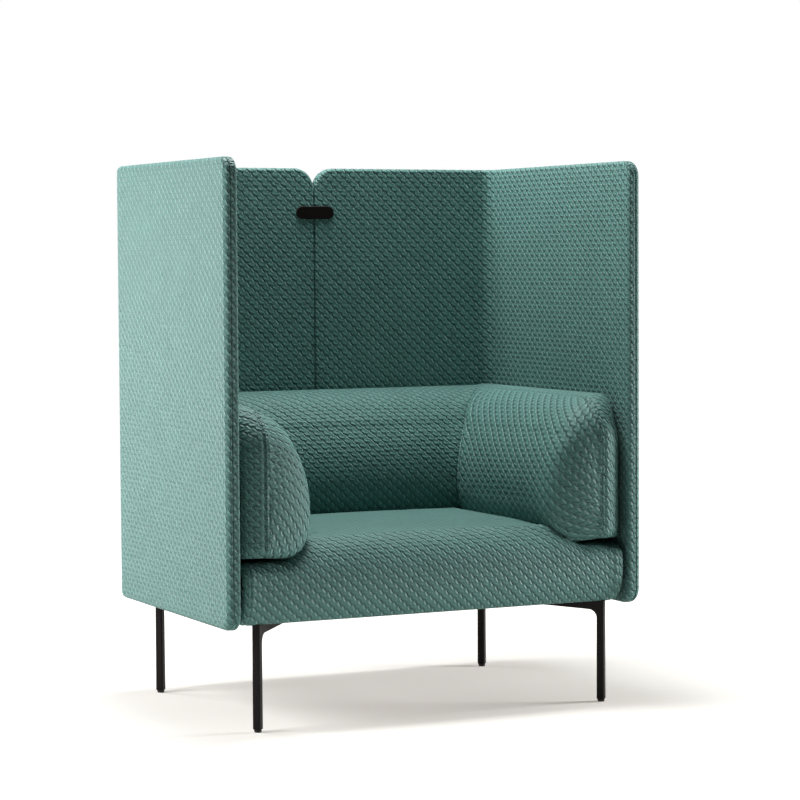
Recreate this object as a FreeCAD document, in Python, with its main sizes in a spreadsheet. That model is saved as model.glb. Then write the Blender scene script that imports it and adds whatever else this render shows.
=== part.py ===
import FreeCAD, Part
import math
import os

import Sketcher
from FreeCAD import Placement, Rotation, Vector

# High-back sofa: two L-shaped upholstered screens round a crowned seat, a mitred bolster
# for the back and arms, and four metal legs with diagonal arms and levelling glides.
# Frame: +X to the right of someone facing the sofa, +Y to the rear, +Z up,
# origin on the floor under the middle of the sofa. All sizes are in millimetres.

doc = FreeCAD.newDocument("HighBackSofa")

# Driving dimensions

SIZES = {
    # Overall box, over the screens
    "overall_width": 1120,
    "overall_depth": 780,
    "overall_height": 1360,
    # Screens
    "screen_bottom": 248,
    "screen_thickness": 34,
    "screen_inner_pad": 19.5,
    "screen_board": 9,
    "screen_edge_pad": 14,
    "screen_plan_corner": 60,
    "screen_end_corner": 40,
    "screen_split_corner": 55,
    "screen_split_gap": 2,
    "screen_outer_roll": 12.5,
    "screen_inner_roll": 8,
    "screen_seam_roll": 1.5,
    # Clip across the split
    "clip_length": 108,
    "clip_height": 34,
    "clip_thickness": 5,
    "clip_edge": 1.5,
    "clip_end_flat": 0.01,
    "clip_drop": 118,
    "clip_stud_spread": 32,
    "clip_stud_diameter": 10,
    "clip_screw_diameter": 5,
    "clip_screw_head": 9,
    "clip_screw_head_height": 3,
    "clip_screw_length": 22,
    # Seat
    "seat_side_gap": 4,
    "seat_front_setback": 4,
    "seat_underside": 255,
    "seat_ledge": 402,
    "seat_crown_rise": 54,
    "seat_nose_depth": 86,
    "seat_edge_roll": 18,
    "seat_nose_underside_rise": 34,
    "seat_nose_ledge_drop": 36,
    "seat_nose_crown_drop": 56,
    "seat_brow_drop": 12,
    "seat_foam_inset": 24,
    "seat_foam_cover": 28,
    "seat_foam_side_slope": 230,
    "seat_foam_front_slope": 70,
    # Seat frame
    "frame_underside": 258,
    "frame_gap": 22,
    "frame_front_setback": 58,
    "rail_height": 76,
    "rail_thickness": 28,
    "corner_block_leg": 240,
    "corner_block_height": 50,
    "corner_block_nose": 30,
    "webbing_width": 50,
    "webbing_side_inset": 91,
    "webbing_thickness": 2,
    "dust_cover_thickness": 1.5,
    "dust_cover_inset": 4,
    # Bolsters
    "bolster_gap": 0.3,
    "bolster_seat_gap": 3,
    "bolster_height": 370,
    "bolster_thickness": 208,
    "back_crown": 6,
    "mitre_gap": 0.6,
    "arm_front_setback": 5,
    "arm_nose_depth": 110,
    "arm_seam_offset": 73,
    "arm_border_fall": 48,
    "arm_border_width": 55,
    "arm_top_roll": 50,
    "arm_bottom_roll": 18,
    "bolster_cover": 16,
    "bolster_board": 15,
    # Bolts, spacers and inserts
    "bolt_diameter": 8,
    "bolt_head": 14,
    "bolt_head_height": 5,
    "bolt_clearance": 0.4,
    "insert_diameter": 12,
    "insert_inset": 0.4,
    "spacer_diameter": 16,
    "spacer_clearance": 1,
    "frame_bolt_end_inset": 170,
    "frame_bolt_side_inset": 310,
    "arm_bolt_front_inset": 35,
    "arm_bolt_rear_inset": 68,
    "back_bolt_inset": 48,
    "back_bolt_pitch": 160,
    "bolster_bolt_rise": 95,
    "bolster_bolt_drop": 135,
    # Legs and glides
    "leg_side_inset": 91,
    "leg_front_inset": 45,
    "leg_rear_inset": 84,
    "leg_width": 20,
    "leg_top_width": 19,
    "leg_arm_length": 172,
    "leg_arm_root_depth": 24,
    "leg_arm_tip_depth": 15,
    "leg_arm_tip_cut": 9,
    "leg_inner_radius": 22,
    "leg_edge_radius": 4,
    "leg_foot_chamfer": 2.5,
    "leg_screw_first": 70,
    "leg_screw_pitch": 38,
    "leg_screw_diameter": 6,
    "leg_screw_head": 11,
    "leg_screw_head_height": 4,
    "leg_screw_plate": 9,
    "leg_screw_length": 38,
    "leg_screw_clearance": 0.3,
    "glide_diameter": 18,
    "glide_height": 6,
    "glide_edge": 1.5,
    "glide_floor": 2,
    "stem_diameter": 8,
    "stem_length": 34,
    "stem_bore_clearance": 0.05,
    "stem_bore_spare": 6,
}
LEG_SCREWS = 3
WEBBING_STRAPS = 8

sheet = doc.addObject("Spreadsheet::Sheet", "Sizes")
for row, (alias, number) in enumerate(SIZES.items(), start=1):
    sheet.set("A%d" % row, alias)
    sheet.set("B%d" % row, str(number))
    sheet.setAlias("B%d" % row, alias)
doc.recompute()


def value(text):
    """Number that an expression over the sheet gives."""
    return float(sheet.evalExpression(text))


def minus(text):
    return "-(%s)" % text


# Places that several pieces share, as expressions over the sheet

INNER_X = "(Sizes.overall_width / 2 - Sizes.screen_thickness)"
INNER_Y = "(Sizes.overall_depth / 2 - Sizes.screen_thickness)"
FRONT_Y = "(-Sizes.overall_depth / 2)"
FRAME_X = "(%s - Sizes.frame_gap)" % INNER_X
FRAME_REAR = "(%s - Sizes.frame_gap)" % INNER_Y
FRAME_FRONT = "(%s + Sizes.frame_front_setback)" % FRONT_Y
FRAME_TOP = "(Sizes.frame_underside + Sizes.rail_height)"
FOAM_BASE = "(%s + Sizes.webbing_thickness)" % FRAME_TOP
LEG_TOP = "(Sizes.frame_underside - Sizes.dust_cover_thickness)"
SEAT_CROWN = "(Sizes.seat_ledge + Sizes.seat_crown_rise)"
BOLSTER_BOTTOM = "(Sizes.seat_ledge + Sizes.bolster_seat_gap)"
BOLSTER_TOP = "(%s + Sizes.bolster_height)" % BOLSTER_BOTTOM
ARM_CORE_FRONT = "(%s + Sizes.arm_front_setback + Sizes.arm_nose_depth)" % FRONT_Y
ARM_CORE_REAR = "(%s - Sizes.bolster_thickness)" % INNER_Y
BACK_CORE_HALF = "(%s - Sizes.bolster_thickness)" % INNER_X
FRAME_BOLT_Z = "(Sizes.frame_underside + (Sizes.corner_block_height + Sizes.rail_height) / 2)"
DIAGONAL = "sqrt(0.5)"
PAST_FACE = "1"

CORNERS = {
    "front_left": (-1, -1),
    "front_right": (1, -1),
    "rear_left": (-1, 1),
    "rear_right": (1, 1),
}

NODES = []


def node(item, label):
    """Give a finished piece the name of its file."""
    item.Label = label
    NODES.append(item)
    return item


def place(item, x="0", y="0", z="0"):
    item.setExpression("Placement.Base.x", x)
    item.setExpression("Placement.Base.y", y)
    item.setExpression("Placement.Base.z", z)


def box(name, low, high):
    """Block between two corners."""
    item = doc.addObject("Part::Box", name)
    for side, start, end in zip(("Length", "Width", "Height"), low, high):
        item.setExpression(side, "(%s) - (%s)" % (end, start))
    place(item, *low)
    return item


TURNS = {
    "x": Rotation(Vector(0, 1, 0), 90),
    "y": Rotation(Vector(1, 0, 0), -90),
    "z": Rotation(),
}


def rod(name, axis, diameter, length, start):
    """Round bar along an axis from the point where it starts."""
    item = doc.addObject("Part::Cylinder", name)
    item.setExpression("Radius", "(%s) / 2" % diameter)
    item.setExpression("Height", length)
    item.Placement = Placement(Vector(), TURNS[axis])
    place(item, *start)
    return item


def wall_rod(name, wall, along, height, diameter, inward, outward):
    """Round bar square to a screen's inner face, reaching inward and outward from it."""
    length = "(%s) + (%s)" % (inward, outward)
    if wall == "right":
        return rod(name, "x", diameter, length, ("%s - (%s)" % (INNER_X, inward), along, height))
    if wall == "left":
        return rod(name, "x", diameter, length, ("-%s - (%s)" % (INNER_X, outward), along, height))
    return rod(name, "y", diameter, length, (along, "%s - (%s)" % (INNER_Y, inward), height))


def compound(name, items):
    item = doc.addObject("Part::Compound", name)
    item.Links = items
    return item


def fuse(name, items):
    item = doc.addObject("Part::MultiFuse", name)
    item.Shapes = items
    return item


def cut(name, base, tool):
    item = doc.addObject("Part::Cut", name)
    item.Base = base
    item.Tool = tool
    return item


def mirrored(name, source):
    """Copy on the other side of the sofa's middle plane."""
    item = doc.addObject("Part::Mirroring", name)
    item.Source = source
    item.Normal = (1, 0, 0)
    item.Base = (0, 0, 0)
    return item


def feature(name, shape):
    item = doc.addObject("Part::Feature", name)
    item.Shape = shape
    return item


def outline(body, name, plane, corners, offset="0"):
    """Closed sketch of straight lines whose corners are expressions."""
    sketch = body.newObject("Sketcher::SketchObject", name)
    support = [item for item in body.Origin.OriginFeatures if item.Role == plane][0]
    sketch.AttachmentSupport = [(support, "")]
    sketch.MapMode = "FlatFace"
    sketch.setExpression("AttachmentOffset.Base.z", offset)
    points = [Vector(value(across), value(up), 0) for across, up in corners]
    count = len(points)
    for index, point in enumerate(points):
        sketch.addGeometry(Part.LineSegment(point, points[(index + 1) % count]))
    for index in range(count):
        sketch.addConstraint(Sketcher.Constraint("Coincident", index, 2, (index + 1) % count, 1))
    for index, (across, up) in enumerate(corners):
        for kind, number, text in (
            ("DistanceX", points[index].x, across),
            ("DistanceY", points[index].y, up),
        ):
            made = sketch.addConstraint(Sketcher.Constraint(kind, -1, 1, index, 1, number))
            sketch.setExpression("Constraints[%d]" % made, text)
    return sketch


def pad(body, name, sketch, length, symmetric=False):
    item = body.newObject("PartDesign::Pad", name)
    item.Profile = sketch
    item.setExpression("Length", length)
    if symmetric:
        item.SideType = "Symmetric"
    doc.recompute()
    return item


def dress(body, name, kind, size_name, size, chosen):
    """Fillet or chamfer on the edges of the body so far that a test picks."""
    base = body.Tip
    edges = ["Edge%d" % number for number, edge in enumerate(base.Shape.Edges, start=1) if chosen(edge)]
    item = body.newObject(kind, name)
    item.Base = (base, edges)
    item.setExpression(size_name, size)
    doc.recompute()
    return item


def fillet(body, name, radius, chosen):
    return dress(body, name, "PartDesign::Fillet", "Radius", radius, chosen)


def near(number, text):
    return abs(number - value(text)) < 0.01


def middle(edge):
    return edge.valueAt((edge.FirstParameter + edge.LastParameter) / 2)


def runs_along(edge, axis):
    """True for a straight edge parallel to an axis."""
    if not isinstance(edge.Curve, Part.Line):
        return False
    return abs(abs(edge.Curve.Direction.dot(axis)) - 1) < 1e-6


X_AXIS = Vector(1, 0, 0)
Y_AXIS = Vector(0, 1, 0)
Z_AXIS = Vector(0, 0, 1)


# Fixings: where bolts pass through the screens' inner faces

side_bolt = "(Sizes.overall_depth / 2 - Sizes.frame_bolt_end_inset)"
rear_bolt = "(Sizes.overall_width / 2 - Sizes.frame_bolt_side_inset)"
FRAME_FIXINGS = [
    (wall, "%d * %s" % (sign, side_bolt), FRAME_BOLT_Z)
    for wall in ("left", "right")
    for sign in (-1, 1)
] + [("back", "%d * %s" % (sign, rear_bolt), FRAME_BOLT_Z) for sign in (-1, 1)]

arm_bolt_front = "%s + Sizes.arm_bolt_front_inset" % ARM_CORE_FRONT
arm_bolt_rear = "%s - Sizes.arm_bolt_rear_inset" % ARM_CORE_REAR
back_bolt_outer = "(%s - Sizes.back_bolt_inset)" % BACK_CORE_HALF
back_bolt_inner = "(%s - Sizes.back_bolt_pitch)" % back_bolt_outer
bolster_bolt_low = "%s + Sizes.bolster_bolt_rise" % BOLSTER_BOTTOM
bolster_bolt_high = "%s - Sizes.bolster_bolt_drop" % BOLSTER_TOP
BOLSTER_FIXINGS = [
    (wall, along, height)
    for wall in ("left", "right")
    for along in (arm_bolt_front, arm_bolt_rear)
    for height in (bolster_bolt_low, bolster_bolt_high)
] + [
    ("back", "%d * %s" % (sign, along), bolster_bolt_low)
    for sign in (-1, 1)
    for along in (back_bolt_inner, back_bolt_outer)
]


def on_right(fixing):
    """True for a fixing in the right-hand screen."""
    wall, along, height = fixing
    return wall == "right" or (wall == "back" and value(along) > 0)


def on_wall(fixings, wall):
    return [fixing for fixing in fixings if fixing[0] == wall]


def bores(name, fixings, diameter, inward, outward):
    """Round cutters at a set of fixings."""
    rods = [
        wall_rod("%s_%d" % (name, number), wall, along, height, diameter, inward, outward)
        for number, (wall, along, height) in enumerate(fixings)
    ]
    return compound(name, rods)


BOLT_HOLE = "Sizes.bolt_diameter + Sizes.bolt_clearance"
SPACER_HOLE = "Sizes.spacer_diameter + Sizes.spacer_clearance"
inner_pad = "Sizes.screen_inner_pad"
board_back = "(Sizes.screen_inner_pad + Sizes.screen_board)"
thickness = "Sizes.screen_thickness"


clip_center = "(Sizes.overall_height - Sizes.clip_drop)"


def stud_bores(name, signs, diameter, start, length):
    """Round bars along the clip's studs, from a depth behind the back's inner face."""
    rods = [
        rod(
            "%s_%d" % (name, number), "y", diameter, length,
            ("%d * Sizes.clip_stud_spread" % sign, "%s + (%s)" % (INNER_Y, start), clip_center),
        )
        for number, sign in enumerate(signs)
    ]
    return compound(name, rods)


# Clip: a plate with studs in front, a plate let into the cover behind, two screws

def clip_plate(name, front):
    """Round-ended plate that lies across the split with its front at a place along Y."""
    body = doc.addObject("PartDesign::Body", name)
    half_length = "Sizes.clip_length / 2"
    low = "%s - Sizes.clip_height / 2" % clip_center
    high = "%s + Sizes.clip_height / 2" % clip_center
    corners = [
        (minus(half_length), low), (half_length, low), (half_length, high), (minus(half_length), high),
    ]
    sketch = outline(body, name + "_face", "XZ_Plane", corners, minus("%s + Sizes.clip_thickness" % front))
    pad(body, name + "_plate", sketch, "Sizes.clip_thickness")
    ends = "Sizes.clip_height / 2 - Sizes.clip_end_flat"
    fillet(body, name + "_ends", ends, lambda edge: runs_along(edge, Y_AXIS))
    return body


clip_front_y = "(%s - Sizes.clip_thickness)" % INNER_Y
clip_rear_y = "(%s + %s - Sizes.clip_thickness)" % (INNER_Y, thickness)
clip_front_plate = clip_plate("clip_front_plate", clip_front_y)
fillet(
    clip_front_plate, "clip_front_edge", "Sizes.clip_edge",
    lambda edge: runs_along(edge, X_AXIS) and near(middle(edge).y, clip_front_y),
)
stud_length = "%s - Sizes.clip_thickness" % thickness
clip_studs = stud_bores("clip_studs", [-1, 1], "Sizes.clip_stud_diameter", "0", stud_length)
clip_front_solid = fuse("clip_front_solid", [clip_front_plate] + clip_studs.Links)
tap_start = "%s - Sizes.clip_screw_length" % thickness
screw_diameter = "Sizes.clip_screw_diameter"
screw_length = "Sizes.clip_screw_length"
clip_taps = stud_bores("clip_taps", [-1, 1], screw_diameter, tap_start, screw_length)
node(cut("clip_front", clip_front_solid, clip_taps), "screen_clip_front")

head_start = "%s - Sizes.clip_screw_head_height" % thickness
head_height = "Sizes.clip_screw_head_height"
clip_heads = stud_bores("clip_heads", [-1, 1], "Sizes.clip_screw_head", head_start, head_height)
clip_shanks = stud_bores("clip_shanks", [-1, 1], screw_diameter, tap_start, screw_length)
clip_screws = [
    fuse("clip_screw_%d" % number, list(pair))
    for number, pair in enumerate(zip(clip_heads.Links, clip_shanks.Links))
]
clip_screw_group = node(compound("clip_screws", clip_screws), "screen_clip_screws")
clip_rear_plate = clip_plate("clip_rear_plate", clip_rear_y)
node(cut("clip_rear", clip_rear_plate, clip_screw_group), "screen_clip_rear")


# Screens: bent board between an inner and an outer padded cover

def screen_layer(name, inner, outer, inset):
    """L-shaped wall between two depths behind the inner face, drawn in from the screen's outline."""
    body = doc.addObject("PartDesign::Body", name)
    side_in = "%s + %s" % (INNER_X, inner)
    side_out = "%s + %s" % (INNER_X, outer)
    back_in = "%s + %s" % (INNER_Y, inner)
    back_out = "%s + %s" % (INNER_Y, outer)
    front = "%s + %s" % (FRONT_Y, inset)
    split = "Sizes.screen_split_gap / 2 + %s" % inset
    low = "Sizes.screen_bottom + %s" % inset
    high = "Sizes.overall_height - %s" % inset
    plan = [
        (side_in, front), (side_out, front), (side_out, back_out),
        (split, back_out), (split, back_in), (side_in, back_in),
    ]
    sketch = outline(body, name + "_plan", "XY_Plane", plan, low)
    pad(body, name + "_wall", sketch, "(%s) - (%s)" % (high, low))

    def upright_at(across, along):
        def test(edge):
            point = middle(edge)
            return runs_along(edge, Z_AXIS) and near(point.x, across) and near(point.y, along)
        return test

    def end_edge(axis, across, along, height):
        def test(edge):
            point = middle(edge)
            there = near(point.x, across) if along is None else near(point.y, along)
            return runs_along(edge, axis) and there and near(point.z, height)
        return test

    corner = "Sizes.screen_plan_corner - Sizes.screen_thickness"
    fillet(body, name + "_outer_bend", "%s + %s" % (corner, outer), upright_at(side_out, back_out))
    fillet(body, name + "_inner_bend", "%s + %s" % (corner, inner), upright_at(side_in, back_in))
    end_corner = "Sizes.screen_end_corner - %s" % inset
    fillet(body, name + "_front_top", end_corner, end_edge(X_AXIS, None, front, high))
    fillet(body, name + "_front_bottom", end_corner, end_edge(X_AXIS, None, front, low))
    fillet(body, name + "_split_bottom", end_corner, end_edge(Y_AXIS, split, None, low))
    split_corner = "Sizes.screen_split_corner - %s" % inset
    fillet(body, name + "_split_top", split_corner, end_edge(Y_AXIS, split, None, high))
    return body


def roll_rim(body, name, radius, depth):
    """Round the whole rim of a screen layer's face at a depth behind the inner face."""
    across = "%s + %s" % (INNER_X, depth)

    def top_edge(edge):
        point = middle(edge)
        on_top = near(point.z, "Sizes.overall_height")
        return runs_along(edge, Y_AXIS) and near(point.x, across) and on_top

    return fillet(body, name, radius, top_edge)


core_blank = screen_layer("screen_core_blank", inner_pad, board_back, "Sizes.screen_edge_pad")
outer_blank = screen_layer("screen_outer_blank", inner_pad, thickness, "0")
roll_rim(outer_blank, "screen_outer_roll", "Sizes.screen_outer_roll", thickness)
roll_rim(outer_blank, "screen_outer_seam", "Sizes.screen_seam_roll", inner_pad)
inner_blank = screen_layer("screen_inner_blank", "0", inner_pad, "0")
roll_rim(inner_blank, "screen_inner_roll", "Sizes.screen_inner_roll", "0")
roll_rim(inner_blank, "screen_inner_seam", "Sizes.screen_seam_roll", inner_pad)

right_frame_fixings = [fixing for fixing in FRAME_FIXINGS if on_right(fixing)]
right_bolster_fixings = [fixing for fixing in BOLSTER_FIXINGS if on_right(fixing)]

inner_holes = compound("screen_inner_holes", [
    bores("inner_spacer_holes", right_frame_fixings, SPACER_HOLE, PAST_FACE, inner_pad),
    bores("inner_bolt_holes", right_bolster_fixings, BOLT_HOLE, PAST_FACE, inner_pad),
    stud_bores("inner_stud_holes", [1], "Sizes.clip_stud_diameter", minus(PAST_FACE),
               "%s + %s" % (inner_pad, PAST_FACE)),
])
core_holes = compound("screen_core_holes", [
    bores("core_insert_holes", right_frame_fixings + right_bolster_fixings,
          "Sizes.insert_diameter", "0", board_back),
    stud_bores("core_stud_holes", [1], "Sizes.clip_stud_diameter", "0", thickness),
])
outer_holes = compound("screen_outer_holes", [
    stud_bores("outer_stud_holes", [1], "Sizes.clip_stud_diameter", "0", thickness),
    clip_rear_plate,
])

screen_inner = cut("screen_inner_right", inner_blank, inner_holes)
screen_core = cut("screen_core_right", core_blank, core_holes)
screen_outer_shell = cut("screen_outer_shell", outer_blank, core_blank)
screen_outer = cut("screen_outer_right", screen_outer_shell, outer_holes)
node(screen_inner, "screen_inner_pad_right")
node(screen_core, "screen_board_right")
node(screen_outer, "screen_outer_pad_right")
node(mirrored("screen_inner_left", screen_inner), "screen_inner_pad_left")
node(mirrored("screen_core_left", screen_core), "screen_board_left")
node(mirrored("screen_outer_left", screen_outer), "screen_outer_pad_left")


# Seat frame: four rails, corner blocks, webbing and dust cover

rail_in = "(%s - Sizes.rail_thickness)" % FRAME_X
front_rail_in = "(%s + Sizes.rail_thickness)" % FRAME_FRONT
rear_rail_in = "(%s - Sizes.rail_thickness)" % FRAME_REAR
rail_low = "Sizes.frame_underside"

rail_bolt_reach = "Sizes.frame_gap + Sizes.rail_thickness + %s" % PAST_FACE
node(
    box("rail_front", (minus(FRAME_X), FRAME_FRONT, rail_low), (FRAME_X, front_rail_in, FRAME_TOP)),
    "seat_rail_front",
)
rear_low = (minus(FRAME_X), rear_rail_in, rail_low)
rear_blank = box("rail_rear_blank", rear_low, (FRAME_X, FRAME_REAR, FRAME_TOP))
rear_bores = bores("rail_rear_bores", on_wall(FRAME_FIXINGS, "back"), BOLT_HOLE, rail_bolt_reach, "0")
node(cut("rail_rear", rear_blank, rear_bores), "seat_rail_rear")
side_blank = box("rail_side_blank", (rail_in, front_rail_in, rail_low), (FRAME_X, rear_rail_in, FRAME_TOP))
side_bores = bores("rail_side_bores", on_wall(FRAME_FIXINGS, "right"), BOLT_HOLE, rail_bolt_reach, "0")
rail_right = node(cut("rail_right", side_blank, side_bores), "seat_rail_right")
node(mirrored("rail_left", rail_right), "seat_rail_left")


def leg_place(corner):
    """Place of a leg's post in plan."""
    side, end = CORNERS[corner]
    inset = "Sizes.leg_rear_inset" if end > 0 else "Sizes.leg_front_inset"
    across = "%d * (Sizes.overall_width / 2 - Sizes.leg_side_inset)" % side
    return across, "%d * (Sizes.overall_depth / 2 - %s)" % (end, inset)


def leg_screw_rods(name, corner, diameter, low, high):
    """Upright round bars at a leg's screws."""
    side, end = CORNERS[corner]
    across, along = leg_place(corner)
    rods = []
    for number in range(LEG_SCREWS):
        reach = "(Sizes.leg_screw_first + %d * Sizes.leg_screw_pitch) * %s" % (number, DIAGONAL)
        start = ("%s - %d * %s" % (across, side, reach), "%s - %d * %s" % (along, end, reach), low)
        rods.append(rod("%s_%d" % (name, number), "z", diameter, "(%s) - (%s)" % (high, low), start))
    return rods


SCREW_HOLE = "Sizes.leg_screw_diameter + Sizes.leg_screw_clearance"
SCREW_HEAD_TOP = "(%s - Sizes.leg_screw_plate)" % LEG_TOP
SCREW_TIP = "(%s + Sizes.leg_screw_length)" % SCREW_HEAD_TOP

blocks = []
for corner, (side, end) in CORNERS.items():
    body = doc.addObject("PartDesign::Body", "block_%s" % corner)
    corner_x = "%d * %s" % (side, rail_in)
    corner_y = rear_rail_in if end > 0 else front_rail_in
    far_x = "%s - %d * Sizes.corner_block_leg" % (corner_x, side)
    far_y = "%s - %d * Sizes.corner_block_leg" % (corner_y, end)
    nose_x = "%s - %d * Sizes.corner_block_nose" % (corner_x, side)
    nose_y = "%s - %d * Sizes.corner_block_nose" % (corner_y, end)
    plan = [(corner_x, corner_y), (far_x, corner_y), (far_x, nose_y), (nose_x, far_y), (corner_x, far_y)]
    sketch = outline(body, "block_plan_%s" % corner, "XY_Plane", plan, rail_low)
    pad(body, "block_pad_%s" % corner, sketch, "Sizes.corner_block_height")
    holes = leg_screw_rods("block_hole_%s" % corner, corner, SCREW_HOLE, rail_low, SCREW_TIP)
    blocks.append(cut("block_cut_%s" % corner, body, compound("block_holes_%s" % corner, holes)))
node(compound("corner_blocks", blocks), "seat_corner_blocks")

straps = []
for number in range(WEBBING_STRAPS):
    share = 2 * number / (WEBBING_STRAPS - 1) - 1
    center = "%s * (%s - Sizes.webbing_side_inset)" % (share, FRAME_X)
    low = ("%s - Sizes.webbing_width / 2" % center, FRAME_FRONT, FRAME_TOP)
    high = ("%s + Sizes.webbing_width / 2" % center, FRAME_REAR, FOAM_BASE)
    straps.append(box("strap_%d" % number, low, high))
node(compound("webbing", straps), "seat_webbing")

dust_blank = box(
    "dust_blank",
    ("-%s + Sizes.dust_cover_inset" % FRAME_X, "%s + Sizes.dust_cover_inset" % FRAME_FRONT, LEG_TOP),
    ("%s - Sizes.dust_cover_inset" % FRAME_X, "%s - Sizes.dust_cover_inset" % FRAME_REAR, rail_low),
)
dust_holes = []
for corner in CORNERS:
    dust_holes += leg_screw_rods("dust_hole_%s" % corner, corner, SCREW_HOLE, LEG_TOP, rail_low)
node(cut("dust_cover", dust_blank, compound("dust_holes", dust_holes)), "seat_dust_cover")

frame_bolts = []
frame_spacers = []
for number, (wall, along, height) in enumerate(FRAME_FIXINGS):
    inside = "(Sizes.frame_gap + Sizes.rail_thickness)"
    tip = "(%s - Sizes.insert_inset)" % board_back
    shank = wall_rod("frame_shank_%d" % number, wall, along, height, "Sizes.bolt_diameter", inside, tip)
    head_in = "%s + Sizes.bolt_head_height" % inside
    head = wall_rod("frame_head_%d" % number, wall, along, height, "Sizes.bolt_head",
                    head_in, minus(inside))
    frame_bolts.append(fuse("frame_bolt_%d" % number, [shank, head]))
    tube = wall_rod("spacer_tube_%d" % number, wall, along, height, "Sizes.spacer_diameter",
                    "Sizes.frame_gap", inner_pad)
    tube_hole = wall_rod("spacer_hole_%d" % number, wall, along, height, BOLT_HOLE,
                         "Sizes.frame_gap", inner_pad)
    frame_spacers.append(cut("spacer_%d" % number, tube, tube_hole))
node(compound("frame_bolts", frame_bolts), "frame_bolts")
node(compound("frame_spacers", frame_spacers), "frame_spacers")

bolster_bolts = []
for number, (wall, along, height) in enumerate(BOLSTER_FIXINGS):
    inside = "(Sizes.bolster_gap + Sizes.bolster_board)"
    tip = "(%s - Sizes.insert_inset)" % board_back
    shank = wall_rod("bolster_shank_%d" % number, wall, along, height, "Sizes.bolt_diameter", inside, tip)
    head_in = "%s + Sizes.bolt_head_height" % inside
    head = wall_rod("bolster_head_%d" % number, wall, along, height, "Sizes.bolt_head",
                    head_in, minus(inside))
    bolster_bolts.append(fuse("bolster_bolt_%d" % number, [shank, head]))
node(compound("bolster_bolts", bolster_bolts), "bolster_bolts")

inserts = []
for number, (wall, along, height) in enumerate(FRAME_FIXINGS + BOLSTER_FIXINGS):
    sleeve = wall_rod("insert_sleeve_%d" % number, wall, along, height, "Sizes.insert_diameter",
                      minus(inner_pad), board_back)
    thread = wall_rod("insert_thread_%d" % number, wall, along, height, "Sizes.bolt_diameter",
                      minus(inner_pad), board_back)
    inserts.append(cut("insert_%d" % number, sleeve, thread))
node(compound("inserts", inserts), "screen_inserts")


# Legs: one profile with post, diagonal arm and inner radius

leg_bottom = "Sizes.glide_height"
arm_root_low = "%s - Sizes.leg_arm_root_depth" % LEG_TOP
arm_tip_low = "%s - Sizes.leg_arm_tip_depth" % LEG_TOP
tip_low_x = "Sizes.leg_arm_length - Sizes.leg_arm_tip_cut"
LEG_PROFILE = [
    ("-Sizes.leg_width / 2", leg_bottom),
    ("Sizes.leg_width / 2", leg_bottom),
    ("Sizes.leg_top_width / 2", arm_root_low),
    (tip_low_x, arm_tip_low),
    ("Sizes.leg_arm_length", LEG_TOP),
    ("-Sizes.leg_top_width / 2", LEG_TOP),
]


def leg(corner):
    side, end = CORNERS[corner]
    body = doc.addObject("PartDesign::Body", "leg_body_%s" % corner)
    sketch = outline(body, "leg_profile_%s" % corner, "XZ_Plane", LEG_PROFILE)
    pad(body, "leg_pad_%s" % corner, sketch, "Sizes.leg_width", symmetric=True)

    def inner_corner(edge):
        point = middle(edge)
        across = near(point.x, "Sizes.leg_top_width / 2")
        return runs_along(edge, Y_AXIS) and across and near(point.z, arm_root_low)

    def long_edge(edge):
        point = middle(edge)
        if near(point.z, leg_bottom) or near(point.z, LEG_TOP):
            return False
        return abs(abs(point.y) - value("Sizes.leg_width / 2")) < 0.01

    fillet(body, "leg_bend_%s" % corner, "Sizes.leg_inner_radius", inner_corner)
    fillet(body, "leg_edges_%s" % corner, "Sizes.leg_edge_radius", long_edge)
    dress(body, "leg_foot_%s" % corner, "PartDesign::Chamfer", "Size", "Sizes.leg_foot_chamfer",
          lambda edge: near(middle(edge).z, leg_bottom))
    cutters = []
    for number in range(LEG_SCREWS):
        reach = "Sizes.leg_screw_first + %d * Sizes.leg_screw_pitch" % number
        cutters.append(rod("leg_hole_%s_%d" % (corner, number), "z", SCREW_HOLE,
                           "Sizes.leg_arm_root_depth * 2",
                           (reach, "0", "%s - Sizes.leg_arm_root_depth" % LEG_TOP)))
        cutters.append(rod("leg_seat_%s_%d" % (corner, number), "z",
                           "Sizes.leg_screw_head + 2 * Sizes.leg_screw_clearance",
                           "Sizes.leg_arm_root_depth",
                           (reach, "0", "%s - Sizes.leg_arm_root_depth" % SCREW_HEAD_TOP)))
    bore = "Sizes.stem_diameter + 2 * Sizes.stem_bore_clearance"
    depth = "Sizes.stem_length + Sizes.stem_bore_spare"
    cutters.append(rod("leg_bore_%s" % corner, "z", bore, depth, ("0", "0", leg_bottom)))
    item = cut("leg_%s" % corner, body, compound("leg_cutters_%s" % corner, cutters))
    turn = math.degrees(math.atan2(-end, -side))
    item.Placement = Placement(Vector(), Rotation(Vector(0, 0, 1), turn))
    place(item, *leg_place(corner))
    return node(item, "leg_%s" % corner)


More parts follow.
